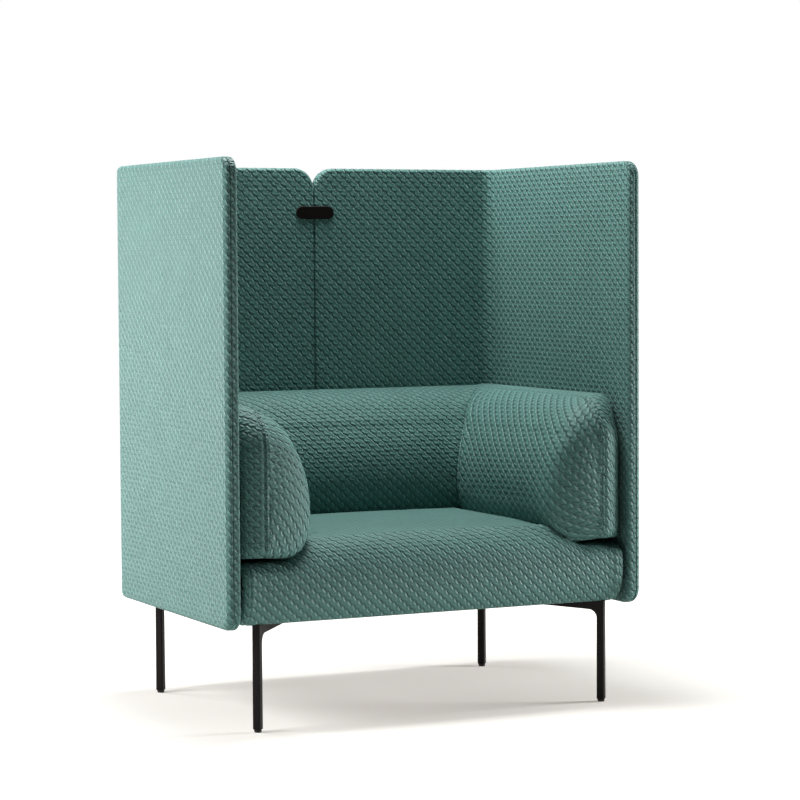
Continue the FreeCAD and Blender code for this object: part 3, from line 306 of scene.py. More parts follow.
def screen_ring(inset):
    """Closed outline of a screen drawn in by an inset, as runs and heights."""
    low, high = SCREEN_LOW.z + inset, SCREEN_HIGH.z - inset
    first, last = inset, SCREEN_RUN - inset

    def corner(run, height, run_sign, height_sign, radius, start):
        rest = max(radius - inset, 0)
        middle = (run - run_sign * rest, height - height_sign * rest)
        arc = []
        for step in range(CORNER_STEPS + 1):
            turn = math.radians(start + 90 * step / CORNER_STEPS)
            arc.append((middle[0] + rest * math.cos(turn), middle[1] + rest * math.sin(turn)))
        return arc

    ring = [(run, low) for run in RUN_STEPS]
    ring += corner(last, low, 1, -1, END_CORNER, -90)
    ring += [(last, height) for height in HEIGHT_STEPS]
    ring += corner(last, high, 1, 1, SPLIT_CORNER, 0)
    ring += [(run, high) for run in reversed(RUN_STEPS)]
    ring += corner(first, high, -1, 1, END_CORNER, 90)
    ring += [(first, height) for height in reversed(HEIGHT_STEPS)]
    ring += corner(first, low, -1, -1, END_CORNER, 180)
    return ring + ring[:1]


def lengths(points):
    """Distance along a row of points."""
    total = [0.0]
    for before, after in zip(points, points[1:]):
        total.append(total[-1] + (Vector(after) - Vector(before)).length)
    return total


def screen_cover(name, side, rim, face_depth, hidden, hidden_depth, outward):
    """Padded cover: the face, its rolled rim down to the seam, and the hidden side round the board."""
    def placed(lines, depths):
        return [[screen_place(run, height, depth, side) for run, height in line]
                for line, depth in zip(lines, depths)]

    def laid(lines):
        return [[(side * outward * cloth_run(run, face_depth), height) for run, height in line] for line in lines]

    face = [[(run, height) for run in RUN_STEPS] for height in HEIGHT_STEPS]
    flat_rim = [screen_ring(rim[0][0] - used) for used in lengths(rim)]
    return sewn_piece(name, [
        (placed(face, [face_depth] * len(face)), laid(face)),
        (placed([screen_ring(inset) for inset, _ in rim], [depth for _, depth in rim]), laid(flat_rim)),
        (placed([screen_ring(inset) for inset, _ in hidden], [depth for _, depth in hidden]),
         laid(flat_rim[-1:]) * len(hidden)),
        (placed(face, [hidden_depth] * len(face)), laid(face)),
    ])


def rolled(radius, face, sign, turns):
    """Quarter round from a face down to the edge, as insets and depths."""
    return [(radius * (1 - math.sin(math.radians(turn))),
             face - sign * radius * (1 - math.cos(math.radians(turn)))) for turn in turns]


TURNS = (0, 12, 24, 36, 48, 60, 72, 84)
ROLL_START = 0.030
OUTER_FACE, OUTER_ROLL = SCREEN_THICK + 0.0004, 0.0145
INNER_FACE, INNER_ROLL = -0.0002, 0.008
INNER_SIDE = [(0.0, 0.0105), (0.0, 0.0150)]
# Insets and distances from the seam where each cover turns in towards it.
OUTER_LIP = [(0.0003, 0.0016), (0.0011, 0.0007), (0.0026, 0.0003)]
INNER_LIP = [(0.0003, 0.0018), (0.0011, 0.0008), (0.0026, 0.0003)]
outer_rim = ([(FLAT_INSET, OUTER_FACE), (ROLL_START, OUTER_FACE)] + rolled(OUTER_ROLL, SCREEN_THICK, 1, TURNS)
             + [(inset, SEAM_DEPTH + off) for inset, off in OUTER_LIP])
inner_rim = ([(FLAT_INSET, INNER_FACE), (ROLL_START, INNER_FACE)] + rolled(INNER_ROLL, 0.0, -1, TURNS)
             + INNER_SIDE + [(inset, SEAM_DEPTH - off) for inset, off in INNER_LIP])
BOARD_EDGE, BOARD_ROUND = 0.0136, 0.0004
BOARD_BACK = 0.0288
outer_turn, inner_turn = outer_rim[-1], inner_rim[-1]
pocket = [outer_turn, (BOARD_EDGE - BOARD_ROUND, outer_turn[1]), (BOARD_EDGE, BOARD_BACK),
          (FLAT_INSET, BOARD_BACK)]
for label, side in (("right", 1), ("left", -1)):
    outer = screen_cover("screen_outer_cover_" + label, side, outer_rim, OUTER_FACE, pocket, BOARD_BACK, 1)
    inner = screen_cover("screen_inner_cover_" + label, side, inner_rim, INNER_FACE,
                         [inner_turn, (FLAT_INSET, inner_turn[1])], inner_turn[1], -1)
    for piece, node_name in ((outer, "screen_outer_pad_"), (inner, "screen_inner_pad_")):
        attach(piece, BODY)
        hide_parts(node_name + label)


# Bolsters: foam on a plywood board, covered in cloth. Flat against the screens, narrow on top, swelling
# towards the seat, with an underside drawn back in. The back and the arms are mitred and sewn together.

BOLSTER_LOW, BOLSTER_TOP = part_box("back_cover")[0].z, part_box("back_cover")[1].z
BOLSTER_HEIGHT = BOLSTER_TOP - BOLSTER_LOW
BOLSTER_THICK = 0.208
BOLSTER_PITCH = 0.0075
# Section as shares of thickness and height: ends of arcs, each with a point that its arc passes through.
SECTION = [
    ((0.0, 0.946), None),
    ((0.106, 1.0), (0.031, 0.984)),
    ((0.273, 0.992), (0.19, 0.999)),
    ((0.793, 0.738), (0.60, 0.90)),
    ((1.0, 0.311), (0.9375, 0.555)),
    ((0.899, 0.068), (0.978, 0.165)),
    ((0.673, 0.0), (0.800, 0.018)),
    ((0.106, 0.0), None),
    ((0.0, 0.054), (0.031, 0.016)),
]


def arc_points(start, through, end, pitch):
    """Points on the arc through three places, or on the straight line if there is no middle place."""
    start, end = Vector(start), Vector(end)
    if through is None:
        return [start.lerp(end, share) for share in steps(0, 1, pitch / (end - start).length)]
    through = Vector(through)
    first, second = through - start, end - start
    cross = 2 * (first.x * second.y - first.y * second.x)
    offset = Vector((second.y * first.length_squared - first.y * second.length_squared,
                     first.x * second.length_squared - second.x * first.length_squared)) / cross
    center = start + offset
    radius = offset.length
    begin = math.atan2(start.y - center.y, start.x - center.x)
    turn = math.atan2(end.y - center.y, end.x - center.x) - begin
    middle = math.atan2(through.y - center.y, through.x - center.x) - begin
    turn = (turn + math.pi) % (2 * math.pi) - math.pi
    middle = (middle + math.pi) % (2 * math.pi) - math.pi
    if turn * middle < 0:
        turn -= math.copysign(2 * math.pi, turn)
    return [center + radius * Vector((math.cos(begin + turn * share), math.sin(begin + turn * share)))
            for share in steps(0, 1, pitch / abs(turn * radius))]


def section_points(pitch):
    """Depth from the screen and height along the section, from the top of its flat side round to the foot."""
    def size(share):
        return (share[0] * BOLSTER_THICK, BOLSTER_LOW + share[1] * BOLSTER_HEIGHT)

    points = [Vector(size(SECTION[0][0]))]
    for (start, _), (end, through) in zip(SECTION, SECTION[1:]):
        run = arc_points(size(start), through and size(through), size(end), pitch)
        points += run[1:]
    return points


def cloth_flat(grid, anchor_row, anchor_column, handed=1):
    """Places on the cloth for a grid: lengths along each row and column from an anchor row and column."""
    rows = [lengths(line) for line in grid]
    columns = [lengths(line) for line in zip(*grid)]
    return [[(handed * (rows[r][c] - rows[r][anchor_column]), -(columns[c][r] - columns[c][anchor_row]))
             for c in range(len(grid[0]))] for r in range(len(grid))]


LAY_NEAR = 0.10


def lay_cloth(piece, panel):
    """Lay a panel's cloth with the least stretch, at its real size and as drawn near its middle."""
    mesh = piece.data
    marks = mesh.attributes["panel"].data
    chosen = [marks[face.index].value == panel for face in mesh.polygons]
    drawn = {corner: mesh.uv_layers["weave"].data[corner].uv.copy()
             for face in mesh.polygons if chosen[face.index] for corner in face.loop_indices}
    for edge in mesh.edges:
        edge.select = False
    for vertex in mesh.vertices:
        vertex.select = False
    for face in mesh.polygons:
        face.select = chosen[face.index]
    pick(piece)
    bpy.context.tool_settings.mesh_select_mode = (False, False, True)
    bpy.ops.object.mode_set(mode="EDIT")
    bpy.ops.uv.unwrap(method="MINIMUM_STRETCH", margin=0)
    bpy.ops.object.mode_set(mode="OBJECT")
    layer = mesh.uv_layers["weave"].data
    flat = {corner: layer[corner].uv.copy() for corner in drawn}
    laid = 0.0
    real = 0.0
    for face in mesh.polygons:
        if chosen[face.index]:
            real += face.area
            spots = [flat[corner] for corner in face.loop_indices]
            laid += abs(sum(a.cross(b) for a, b in zip(spots, spots[1:] + spots[:1]))) / 2
    scale = math.sqrt(real / laid)
    near = [corner for corner, spot in drawn.items() if spot.length < LAY_NEAR]
    middle = sum((drawn[corner] for corner in near), Vector((0, 0))) / len(near)
    center = sum((flat[corner] for corner in near), Vector((0, 0))) / len(near)
    cosine = sum((flat[corner] - center).dot(drawn[corner] - middle) for corner in near)
    sine = sum((flat[corner] - center).cross(drawn[corner] - middle) for corner in near)
    turn = Matrix.Rotation(math.atan2(sine, cosine), 2)
    for corner, spot in flat.items():
        layer[corner].uv = middle + turn @ ((spot - center) * scale)


SWELL_DEPTH = 0.003
SWELL_FRAMES = 12
SWELL = {"quality": 5, "mass": 0.4, "tension_stiffness": 20, "compression_stiffness": 20, "shear_stiffness": 10,
         "bending_stiffness": 8, "use_pressure": True, "uniform_pressure_force": 4.0}


def plump(piece, held):
    """Shrink the padding where nothing holds it, then let it swell under its cover as cloth under pressure."""
    drawn = [vertex.co.copy() for vertex in piece.data.vertices]
    normals = [vertex.normal.copy() for vertex in piece.data.vertices]
    sewn = piece.vertex_groups.new(name="sewn")
    for vertex, normal in zip(piece.data.vertices, normals):
        if held(vertex.co):
            sewn.add([vertex.index], 1.0, "REPLACE")
        else:
            vertex.co -= normal * SWELL_DEPTH
    piece.data.update()
    swell = piece.modifiers.new("swell", "CLOTH")
    for name, setting in SWELL.items():
        setattr(swell.settings, name, setting)
    swell.settings.vertex_group_mass = sewn.name
    swell.settings.effector_weights.gravity = 0.0
    swell.collision_settings.use_collision = False
    swell.point_cache.frame_end = SWELL_FRAMES
    for number in range(1, SWELL_FRAMES + 1):
        scene.frame_set(number)
    shown = piece.evaluated_get(bpy.context.evaluated_depsgraph_get())
    swollen = [vertex.co.copy() for vertex in shown.data.vertices]
    piece.modifiers.remove(swell)
    piece.vertex_groups.remove(sewn)
    scene.frame_set(1)
    for vertex, place, normal, loose in zip(piece.data.vertices, drawn, normals, swollen):
        outward = (loose - place).dot(normal)
        vertex.co = place + normal * min(max(outward, -SWELL_DEPTH), 0.0)
    piece.data.update()


# Cloth nearer than this to the screen, the foot, a mitre or a seam is held and can't swell.
HELD_DEEP, HELD_FOOT, HELD_MITRE, HELD_SEAM = 0.008, 0.010, 0.024, 0.004


def back_held(place):
    """Where the back is sewn at the mitres, or pressed against the screen or the seat."""
    depth = INNER_Y - place.y
    mitre = INNER_X - depth - abs(place.x)
    return depth < HELD_DEEP or place.z < BOLSTER_LOW + HELD_FOOT or mitre < HELD_MITRE


GAP = 0.0003
BACK_CROWN = 0.006
BELLY = Vector((0.2, 0.55))
section = section_points(BOLSTER_PITCH)
MID_ROW = min(range(len(section)), key=lambda row: (section[row] - BELLY).length)
# Closer columns near a mitre let the cloth turn down into the seam.
MITRE_SHARES = [0.0, 0.003, 0.008, 0.016, 0.03, 0.05]
MITRE_CLEAR = 0.075
BACK_STEP, ARM_STEP = 0.02, 0.022
COLUMN_SHARES = (MITRE_SHARES + steps(MITRE_CLEAR, 1 - MITRE_CLEAR, BACK_STEP)
                 + [1 - share for share in reversed(MITRE_SHARES)])

back_grid = []
for depth, height in section:
    half = INNER_X - depth - GAP
    line = []
    for share in COLUMN_SHARES:
        x = half * (2 * share - 1)
        swell = BACK_CROWN * (1 - (2 * share - 1) ** 2) * depth / BOLSTER_THICK
        line.append((x, INNER_Y - GAP - depth - swell, height))
    back_grid.append(line)
back_cloth = cloth_flat(back_grid, MID_ROW, len(COLUMN_SHARES) // 2)
back_bolster = sewn_piece("back_bolster", [(back_grid, back_cloth)])
plump(back_bolster, back_held)
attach(back_bolster, BODY)
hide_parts("back_cover", "back_foam")


# Arm bolsters: the same section run forward and rolled round a rounded nose. The nose ends in a double
# stitched seam that climbs the front and turns over the top, and a border strip outside it falls back
# towards the screen.

ARM_FRONT = FRONT_Y + 0.005
NOSE = 0.110
NOSE_START = ARM_FRONT + NOSE
SEAM_OFF = 0.073
NOSE_END = math.radians(60)
NOSE_FULL = 2.4
NOSE_SHARES = [0.0, 0.08, 0.16, 0.24, 0.32, 0.40, 0.48, 0.56, 0.64, 0.72, 0.79, 0.85, 0.90, 0.935, 0.962,
               0.982, 0.993, 1.0]
SEAM_PITCH, SEAM_TURN = 0.004, 0.06
SEAM_TOP_BACK = 0.105
SEAM_TOP_DROP = 0.105
SEAM_FOOT_ROUND = 0.024
FRONT_LIFT = 0.010
STRIP_FALL = 0.040
STRIP_CLEAR = 0.011
CORNER_FULL = 4.8
FOOT_FALL = 0.45
FOOT_BACK, FOOT_LIFT = 2.2, 0.8
# Share of a quarter round's radius that its middle lies in from each side.
ROUND_MIDDLE = 0.29289


def crossing(points, depth):
    """Places where the section passes a depth, as an index before it and a share."""
    found = []
    for index, (before, after) in enumerate(zip(points, points[1:])):
        if (before.x - depth) * (after.x - depth) <= 0 and before.x != after.x:
            found.append((index, (depth - before.x) / (after.x - before.x)))
    return found


crossings = crossing(section, SEAM_OFF)
top_cross, foot_cross = crossings[0], crossings[-1]
seam_top = section[top_cross[0]].lerp(section[top_cross[0] + 1], top_cross[1])
seam_foot = section[foot_cross[0]].lerp(section[foot_cross[0] + 1], foot_cross[1])
strip_top = section[:top_cross[0] + 1] + [seam_top]
main_rows = [seam_top] + section[top_cross[0] + 1:foot_cross[0] + 1] + [seam_foot]
strip_foot = [seam_foot] + section[foot_cross[0] + 1:]


def seam_outline():
    """Seam in its own plane, forward places and heights, from the start of the nose over the top and down."""
    top, foot = seam_top.y, seam_foot.y + FRONT_LIFT
    bend_foot = (ARM_FRONT + ROUND_MIDDLE * SEAM_FOOT_ROUND, foot + ROUND_MIDDLE * SEAM_FOOT_ROUND)
    points = arc_points((NOSE_START, top), None, (ARM_FRONT + SEAM_TOP_BACK, top), SEAM_PITCH)
    for turn in steps(0, math.pi / 2, SEAM_TURN)[1:]:
        points.append(Vector((ARM_FRONT + SEAM_TOP_BACK * (1 - math.sin(turn)),
                              top - SEAM_TOP_DROP * (1 - math.cos(turn)))))
    points += arc_points(points[-1], None, (ARM_FRONT, foot + SEAM_FOOT_ROUND), SEAM_PITCH)[1:]
    points += arc_points(points[-1], bend_foot, (ARM_FRONT + SEAM_FOOT_ROUND, foot), SEAM_PITCH)[1:]
    points += arc_points(points[-1], None, (NOSE_START, seam_foot.y), SEAM_PITCH)[1:]
    return points


def at_share(points, marks, share):
    """Point at a share of the length of a row of points."""
    want = share * marks[-1]
    for index in range(len(points) - 1):
        if marks[index + 1] >= want:
            part = (want - marks[index]) / max(marks[index + 1] - marks[index], 1e-9)
            return Vector(points[index]).lerp(Vector(points[index + 1]), part)
    return Vector(points[-1])


outline = seam_outline()
outline_marks = lengths(outline)
main_marks = lengths(main_rows)
seam_points = [at_share(outline, outline_marks, mark / main_marks[-1]) for mark in main_marks]


def finer(points, pitch):
    """Row of points filled in to a closer pitch."""
    filled = [Vector(points[0])]
    for before, after in zip(points, points[1:]):
        gap = (Vector(after) - Vector(before)).length
        for share in steps(0, 1, pitch / max(gap, 1e-6))[1:]:
            filled.append(Vector(before).lerp(Vector(after), share))
    return filled


def point_tree(points):
    """Tree that finds the nearest of some points."""
    tree = KDTree(len(points))
    for index, point in enumerate(points):
        tree.insert(point, index)
    tree.balance()
    return tree


# Depth and reach of the dip along each seam, with the height of a puff beside it on the seat.
FRONT_CREASE, STITCH_CREASE = (0.0028, 0.0020), (0.0014, 0.0016)
MITRE_CREASE, SEAT_CREASE = (0.0006, 0.0024), (0.0022, 0.0030, 0.0008)
CREASE_PITCH = 0.0015
# The puff's place and width and the end of the crease, in reaches.
PUFF_AWAY, PUFF_WIDE, CREASE_END = 4.5, 2, 10


def draw_in(piece, seam, depth, reach, puff=0.0):
    """Pull the cloth down towards a seam and let it swell a little beside it."""
    tree = point_tree(seam)
    moves = []
    for vertex in piece.data.vertices:
        away = tree.find(vertex.co)[2]
        if away < CREASE_END * reach:
            swell = puff * math.exp(-((away - PUFF_AWAY * reach) / (PUFF_WIDE * reach)) ** 2)
            dip = depth * math.exp(-(away / reach) ** 2)
            moves.append((vertex, vertex.normal * (swell - dip)))
    for vertex, move in moves:
        vertex.co += move
    piece.data.update()


def beside(rows, distance):
    """Points at a distance along each row from its start."""
    line = []
    for row in rows:
        marks = lengths(row)
        line.append(at_share(row, marks, distance / marks[-1]))
    return line


STITCH_PITCH = 0.0072
STITCH_LENGTH = 0.0050
STITCH_THICK = 0.0011
STITCH_PROUD = 0.2


def topstitch(name, rows):
    """Rows of thread stitches; each row is a piece and a line of points near its surface."""
    pick()
    bpy.ops.mesh.primitive_uv_sphere_add(segments=6, ring_count=4, radius=0.5)
    pattern = bpy.context.object
    shape = [vertex.co.copy() for vertex in pattern.data.vertices]
    sides = [list(polygon.vertices) for polygon in pattern.data.polygons]
    bpy.data.objects.remove(pattern)
    points = []
    faces = []
    for piece, line in rows:
        marks = lengths(line)
        count = int(marks[-1] / STITCH_PITCH)
        for index in range(count):
            here = at_share(line, marks, (index + 0.5) / count)
            way = at_share(line, marks, (index + 0.8) / count) - at_share(line, marks, (index + 0.2) / count)
            _, place, normal, _ = piece.closest_point_on_mesh(here)
            along = (way - normal * way.dot(normal)).normalized()
            across = normal.cross(along)
            start = len(points)
            for corner in shape:
                points.append(place + along * corner.z * STITCH_LENGTH + across * corner.x * STITCH_THICK
                              + normal * (corner.y * STITCH_THICK + STITCH_THICK * STITCH_PROUD))
            faces.extend([start + number for number in face] for face in sides)
    mesh = bpy.data.meshes.new(name)
    mesh.from_pydata(points, [], faces)
    thread_piece = bpy.data.objects.new(name, mesh)
    scene.collection.objects.link(thread_piece)
    mesh.materials.append(thread)
    pick(thread_piece)
    bpy.ops.object.shade_smooth()
    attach(thread_piece, BODY)


# Sewing thread: spun polyester, dyed darker than the cloth. The twist of its plies mixes two shades
# along each stitch.


def grained_material(name, dark, pale, grain_mm, detail, rough, bump=None, stretch=None, metal=0.0):
    """Material with a grain that mixes two shades. A pair for rough is a range that follows the grain,
    and bump is the grain's height in metres and its strength."""
    material, tree, shader = new_material(name)
    place = add_node(tree, "TexCoord", output="Object")
    if stretch:
        place = add_node(tree, "Mapping", {"Vector": place, "Scale": stretch})
    grain = add_node(tree, "TexNoise", {"Vector": place, "Scale": 1000 / grain_mm, "Detail": detail})
    colour = add_node(tree, "Mix", {0: grain, 6: linear(dark), 7: linear(pale)}, 2, data_type="RGBA")
    tree.links.new(colour, shader.inputs["Base Color"])
    if isinstance(rough, tuple):
        gloss = add_node(tree, "MapRange", {0: grain, 3: rough[0], 4: rough[1]})
        tree.links.new(gloss, shader.inputs["Roughness"])
    else:
        shader.inputs["Roughness"].default_value = rough
    if bump:
        raised = add_node(tree, "Bump", {"Height": grain, "Distance": bump[0], "Strength": bump[1]})
        tree.links.new(raised, shader.inputs["Normal"])
    shader.inputs["Metallic"].default_value = metal
    return material


thread = grained_material("spun_polyester_thread", "#16302f", "#2c4d4a", 0.8333, 2.0, 0.7)
SEAM_BESIDE = 0.005
RUN_SHARES = MITRE_SHARES + steps(MITRE_CLEAR, 1, ARM_STEP)[:-1]


def arm_place(depth, along, height, side):
    return (side * (INNER_X - GAP - depth), along, height)


def arm_main(side):
    """Main panel of an arm: the straight run from the mitre, then the nose to the seam."""
    grid = []
    for point, seam in zip(main_rows, seam_points):
        rear = INNER_Y - GAP - point.x
        line = []
        for share in RUN_SHARES:
            line.append(arm_place(point.x, rear + (NOSE_START - rear) * share, point.y, side))
        for share in NOSE_SHARES:
            turn = NOSE_END * share
            kept = (math.cos(turn) - math.cos(NOSE_END)) / (1 - math.cos(NOSE_END))
            out = 1 - (1 - kept) ** NOSE_FULL
            ahead = math.sin(turn) / math.sin(NOSE_END)
            depth = SEAM_OFF + (point.x - SEAM_OFF) * out
            along = NOSE_START + (seam.x - NOSE_START) * ahead
            line.append(arm_place(depth, along, point.y + (seam.y - point.y) * (1 - out), side))
        grid.append(line)
    return grid


STRIP_SHARES = [0.0, 0.02, 0.05, 0.09, 0.15, 0.23, 0.32, 0.42, 0.52, 0.62, 0.72, 0.80, 0.87, 0.93, 0.97, 1.0]
STRIP_TUCK = 0.050
HELD_STRIP = 0.01


def height_at(points, depth):
    """Height of a run of section points at a depth."""
    for index, share in crossing(points, depth):
        return points[index].lerp(points[index + 1], share).y
    return min(points[-1], points[0], key=lambda point: abs(point.x - depth)).y


def arm_strip(side):
    """Border strip outside the seam: along the top, down the front and back under the foot."""
    rear = INNER_Y - GAP - SEAM_OFF
    run = [rear + (NOSE_START - rear) * share for share in RUN_SHARES]
    loop = [Vector((along, seam_top.y)) for along in run] + seam_points
    loop += [Vector((along, seam_foot.y)) for along in reversed(run)]
    grid = []
    for index, place in enumerate(loop):
        before, after = loop[max(index - 1, 0)], loop[min(index + 1, len(loop) - 1)]
        facing = abs((after - before).normalized().y)
        rise = math.sqrt(max(1 - facing ** 2, 0.0))
        upper = place.y > BOLSTER_LOW + BOLSTER_HEIGHT / 2
        clear = STRIP_CLEAR * facing
        line = []
        for share in STRIP_SHARES:
            depth = SEAM_OFF - (SEAM_OFF - clear) * share
            front_fall = STRIP_FALL * (1 - math.sqrt(1 - share ** 2))
            if upper:
                flat_fall = seam_top.y - height_at(strip_top, depth)
            else:
                flat_fall = FOOT_FALL * (height_at(strip_foot, depth) - seam_foot.y)
            corner = CORNER_FULL * facing * (1 - facing)
            if upper:
                along = place.x + facing ** 3 * front_fall * (1 + corner)
                height = place.y - rise * ((1 - facing ** 2) * flat_fall + facing * front_fall * (1 + corner))
            else:
                along = place.x + facing * front_fall * (1 + FOOT_BACK * (1 - facing))
                height = place.y + (1 - facing ** 2) * flat_fall + FOOT_LIFT * facing * (1 - facing) * front_fall
            if place.x > NOSE_START:
                own_rear = INNER_Y - GAP - depth
                along = NOSE_START + (place.x - NOSE_START) * (own_rear - NOSE_START) / (rear - NOSE_START)
            line.append(arm_place(depth, along, height, side))
        last = line[-1]
        line.append((side * (INNER_X - GAP), last[1] + STRIP_TUCK * facing, last[2]))
        grid.append(line)
    return grid


# Column of each arm's main panel where the weave stands upright: the one that the eye meets first.
LAY_COLUMN = {"right": len(MITRE_SHARES) + 10, "left": -9}
for label, side in (("right", 1), ("left", -1)):
    main_grid = arm_main(side)
    strip_grid = arm_strip(side)
    main_cloth = cloth_flat(main_grid, len(main_rows) // 2, LAY_COLUMN[label], side)
    strip_cloth = [[(side * mark, -run) for mark in lengths(line)]
                   for line, run in zip(strip_grid, lengths([line[0] for line in strip_grid]))]
    arm = sewn_piece("arm_bolster_" + label, [(main_grid, main_cloth), (strip_grid, strip_cloth)])
    lay_cloth(arm, 1)
    front_seam = finer([line[-1] for line in main_grid], CREASE_PITCH)
    mitre_seam = finer([line[0] for line in main_grid], CREASE_PITCH)
    seam_tree = point_tree(front_seam)

    def arm_held(place):
        """Where an arm is sewn at its seam and mitre, or pressed against the screen or the seat."""
        depth = INNER_X - abs(place.x)
        return (depth < SEAM_OFF - HELD_STRIP or place.z < BOLSTER_LOW + HELD_FOOT
                or INNER_Y - place.y - depth < HELD_MITRE or seam_tree.find(place)[2] < HELD_SEAM)

    plump(arm, arm_held)
    back_rows = [line if side < 0 else line[::-1] for line in back_grid]
    nose_stitch = beside([line[::-1] for line in main_grid], SEAM_BESIDE)
    strip_stitch = beside(strip_grid[len(RUN_SHARES):len(RUN_SHARES) + len(main_rows)], SEAM_BESIDE)
    draw_in(arm, front_seam, *FRONT_CREASE)
    for stitch in (nose_stitch, strip_stitch):
        draw_in(arm, finer(stitch, CREASE_PITCH), *STITCH_CREASE)
    draw_in(arm, mitre_seam, *MITRE_CREASE)
    draw_in(back_bolster, mitre_seam, *MITRE_CREASE)
    topstitch("bolster_topstitch_" + label, [
        (arm, nose_stitch),
        (arm, strip_stitch),
        (arm, beside(main_grid, SEAM_BESIDE)),
        (back_bolster, beside(back_rows[top_cross[0] + 1:foot_cross[0] + 1], SEAM_BESIDE)),
    ])
    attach(arm, BODY)
    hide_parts("arm_cover_" + label, "arm_foam_" + label)


# Seat: a foam core over webbing in a plywood frame, covered in cloth. It crowns between the bolsters, is
# pressed flat under them, and its front swells over the frame. Corner seams join it to narrow side panels.

SEAT_HALF = INNER_X - 0.010
SEAT_REAR = INNER_Y - 0.004
SEAT_FRONT = FRONT_Y + 0.004
SEAT_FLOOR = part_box("seat_cover")[0].z
SEAT_LEDGE = 0.402
SEAT_RISE = 0.060
SEAT_SEAM_X = INNER_X - 0.0270
SEAT_NOSE = 0.086
SEAT_BELLY = 0.338
SEAT_TUCK = 0.046
NOSE_POWER, NOSE_POWER_SIDE = 0.9, 0.32
UNDER_ARM = INNER_X - BOLSTER_THICK
UNDER_BACK = INNER_Y - BOLSTER_THICK
# Start and end of the crown's fall behind the bolsters' faces, and of the nose's change beside the arms.
SHOULDER, REAR_FALL, NOSE_SIDE = (0.010, 0.100), (0.020, 0.095), (-0.02, 0.12)
DOME, DOME_WIDE = 0.08, 1.2
BROW, BROW_DEEP = 0.10, 0.26
LEDGE_LIFT, LEDGE_FRONT = FRONT_LIFT + 0.002, 0.030


def smooth(low, high, number):
    """Rise from 0 to 1 between two places, level at both."""
    share = min(max((number - low) / (high - low), 0), 1)
    return share * share * (3 - 2 * share)


def seat_top(x, y):
    """Height of the seat's top: a low crown that meets the bolsters' faces and is pressed down under them."""
    across = 1 - smooth(UNDER_ARM + SHOULDER[0], UNDER_ARM + SHOULDER[1], abs(x))
    dome = 1 - DOME * min(abs(x) / UNDER_ARM, DOME_WIDE) ** 2
    rear = 1 - smooth(UNDER_BACK + REAR_FALL[0], UNDER_BACK + REAR_FALL[1], y)
    brow = 1 - BROW * smooth(-SEAT_FRONT - BROW_DEEP, -SEAT_FRONT - SEAT_NOSE, -y)
    ledge = SEAT_LEDGE + LEDGE_LIFT * smooth(-NOSE_START, -SEAT_FRONT - LEDGE_FRONT, -y)
    return ledge + (SEAT_LEDGE + SEAT_RISE - ledge) * across * dome * rear * brow


SEAT_PITCH, SEAT_PITCH_X, UNDER_PITCH = 0.010, 0.012, 0.06
SEAT_DEPTHS = list(reversed(steps(SEAT_FRONT + SEAT_NOSE, SEAT_REAR, SEAT_PITCH)))
NOSE_TURNS = steps(0, 90, 90 / 14)[1:]
TUCK_TURNS = steps(0, 90, 10)[1:]
# Rows of the underside with how far each is drawn up, so that the dust cover lies in a shallow recess.
COVER_LOW, COVER_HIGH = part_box("seat_dust_cover")
COVER_CLEAR = 0.0004
RECESS = COVER_HIGH.z + COVER_CLEAR - SEAT_FLOOR
RECESS_IN, RECESS_OUT = 0.0005, 0.002
UNDER_ROWS = ([(COVER_LOW.y - RECESS_OUT, 0.0)]
              + [(y, RECESS) for y in steps(COVER_LOW.y - RECESS_IN, COVER_HIGH.y + RECESS_IN, UNDER_PITCH)]
              + [(COVER_HIGH.y + RECESS_OUT, 0.0), (SEAT_REAR, 0.0)])


def seat_profile(x, inset):
    """Line of the seat from the rear over the top, round the front and back underneath."""
    line = []
    for y in SEAT_DEPTHS:
        y_in = y - inset if y == SEAT_REAR else y
        line.append((x, y_in, seat_top(x, y) - inset))
    top = seat_top(x, SEAT_FRONT + SEAT_NOSE) - inset
    front = SEAT_FRONT + inset
    nose = SEAT_NOSE - inset
    beside_arm = smooth(UNDER_ARM + NOSE_SIDE[0], UNDER_ARM + NOSE_SIDE[1], abs(x))
    power = NOSE_POWER + (NOSE_POWER_SIDE - NOSE_POWER) * beside_arm
    for turn in NOSE_TURNS:
        angle = math.radians(turn)
        line.append((x, front + nose * (1 - math.sin(angle)),
                     SEAT_BELLY + (top - SEAT_BELLY) * max(math.cos(angle), 0.0) ** power))
    low = SEAT_FLOOR + inset
    for turn in TUCK_TURNS:
        angle = math.radians(turn)
        line.append((x, front + SEAT_TUCK * (1 - math.cos(angle)),
                     SEAT_BELLY - (SEAT_BELLY - low) * math.sin(angle)))
    for y, lift in UNDER_ROWS:
        y_in = y - inset if y == SEAT_REAR else y
        line.append((x, y_in, low + (lift if inset == 0 else 0.0)))
    return line


SEAT_SEAM_STEPS = [0.0, 0.0015, 0.004, 0.008, 0.014]
SEAM_BAND = 0.022
inner_columns = steps(-SEAT_SEAM_X + SEAM_BAND, SEAT_SEAM_X - SEAM_BAND, SEAT_PITCH_X)
seat_columns = ([-SEAT_SEAM_X + step for step in SEAT_SEAM_STEPS] + inner_columns
                + [SEAT_SEAM_X - step for step in reversed(SEAT_SEAM_STEPS)])
SIDE_ROLL = SEAT_HALF - SEAT_SEAM_X
SIDE_TURNS = (0, 8, 18, 30, 42, 54, 66, 78, 90)


def side_columns(side):
    """Side panel rolling over from the corner seam to the upright side."""
    lines = []
    for turn in SIDE_TURNS:
        angle = math.radians(turn)
        lines.append(seat_profile(side * (SEAT_SEAM_X + SIDE_ROLL * math.sin(angle)),
                                  SIDE_ROLL * (1 - math.cos(angle))))
    return lines


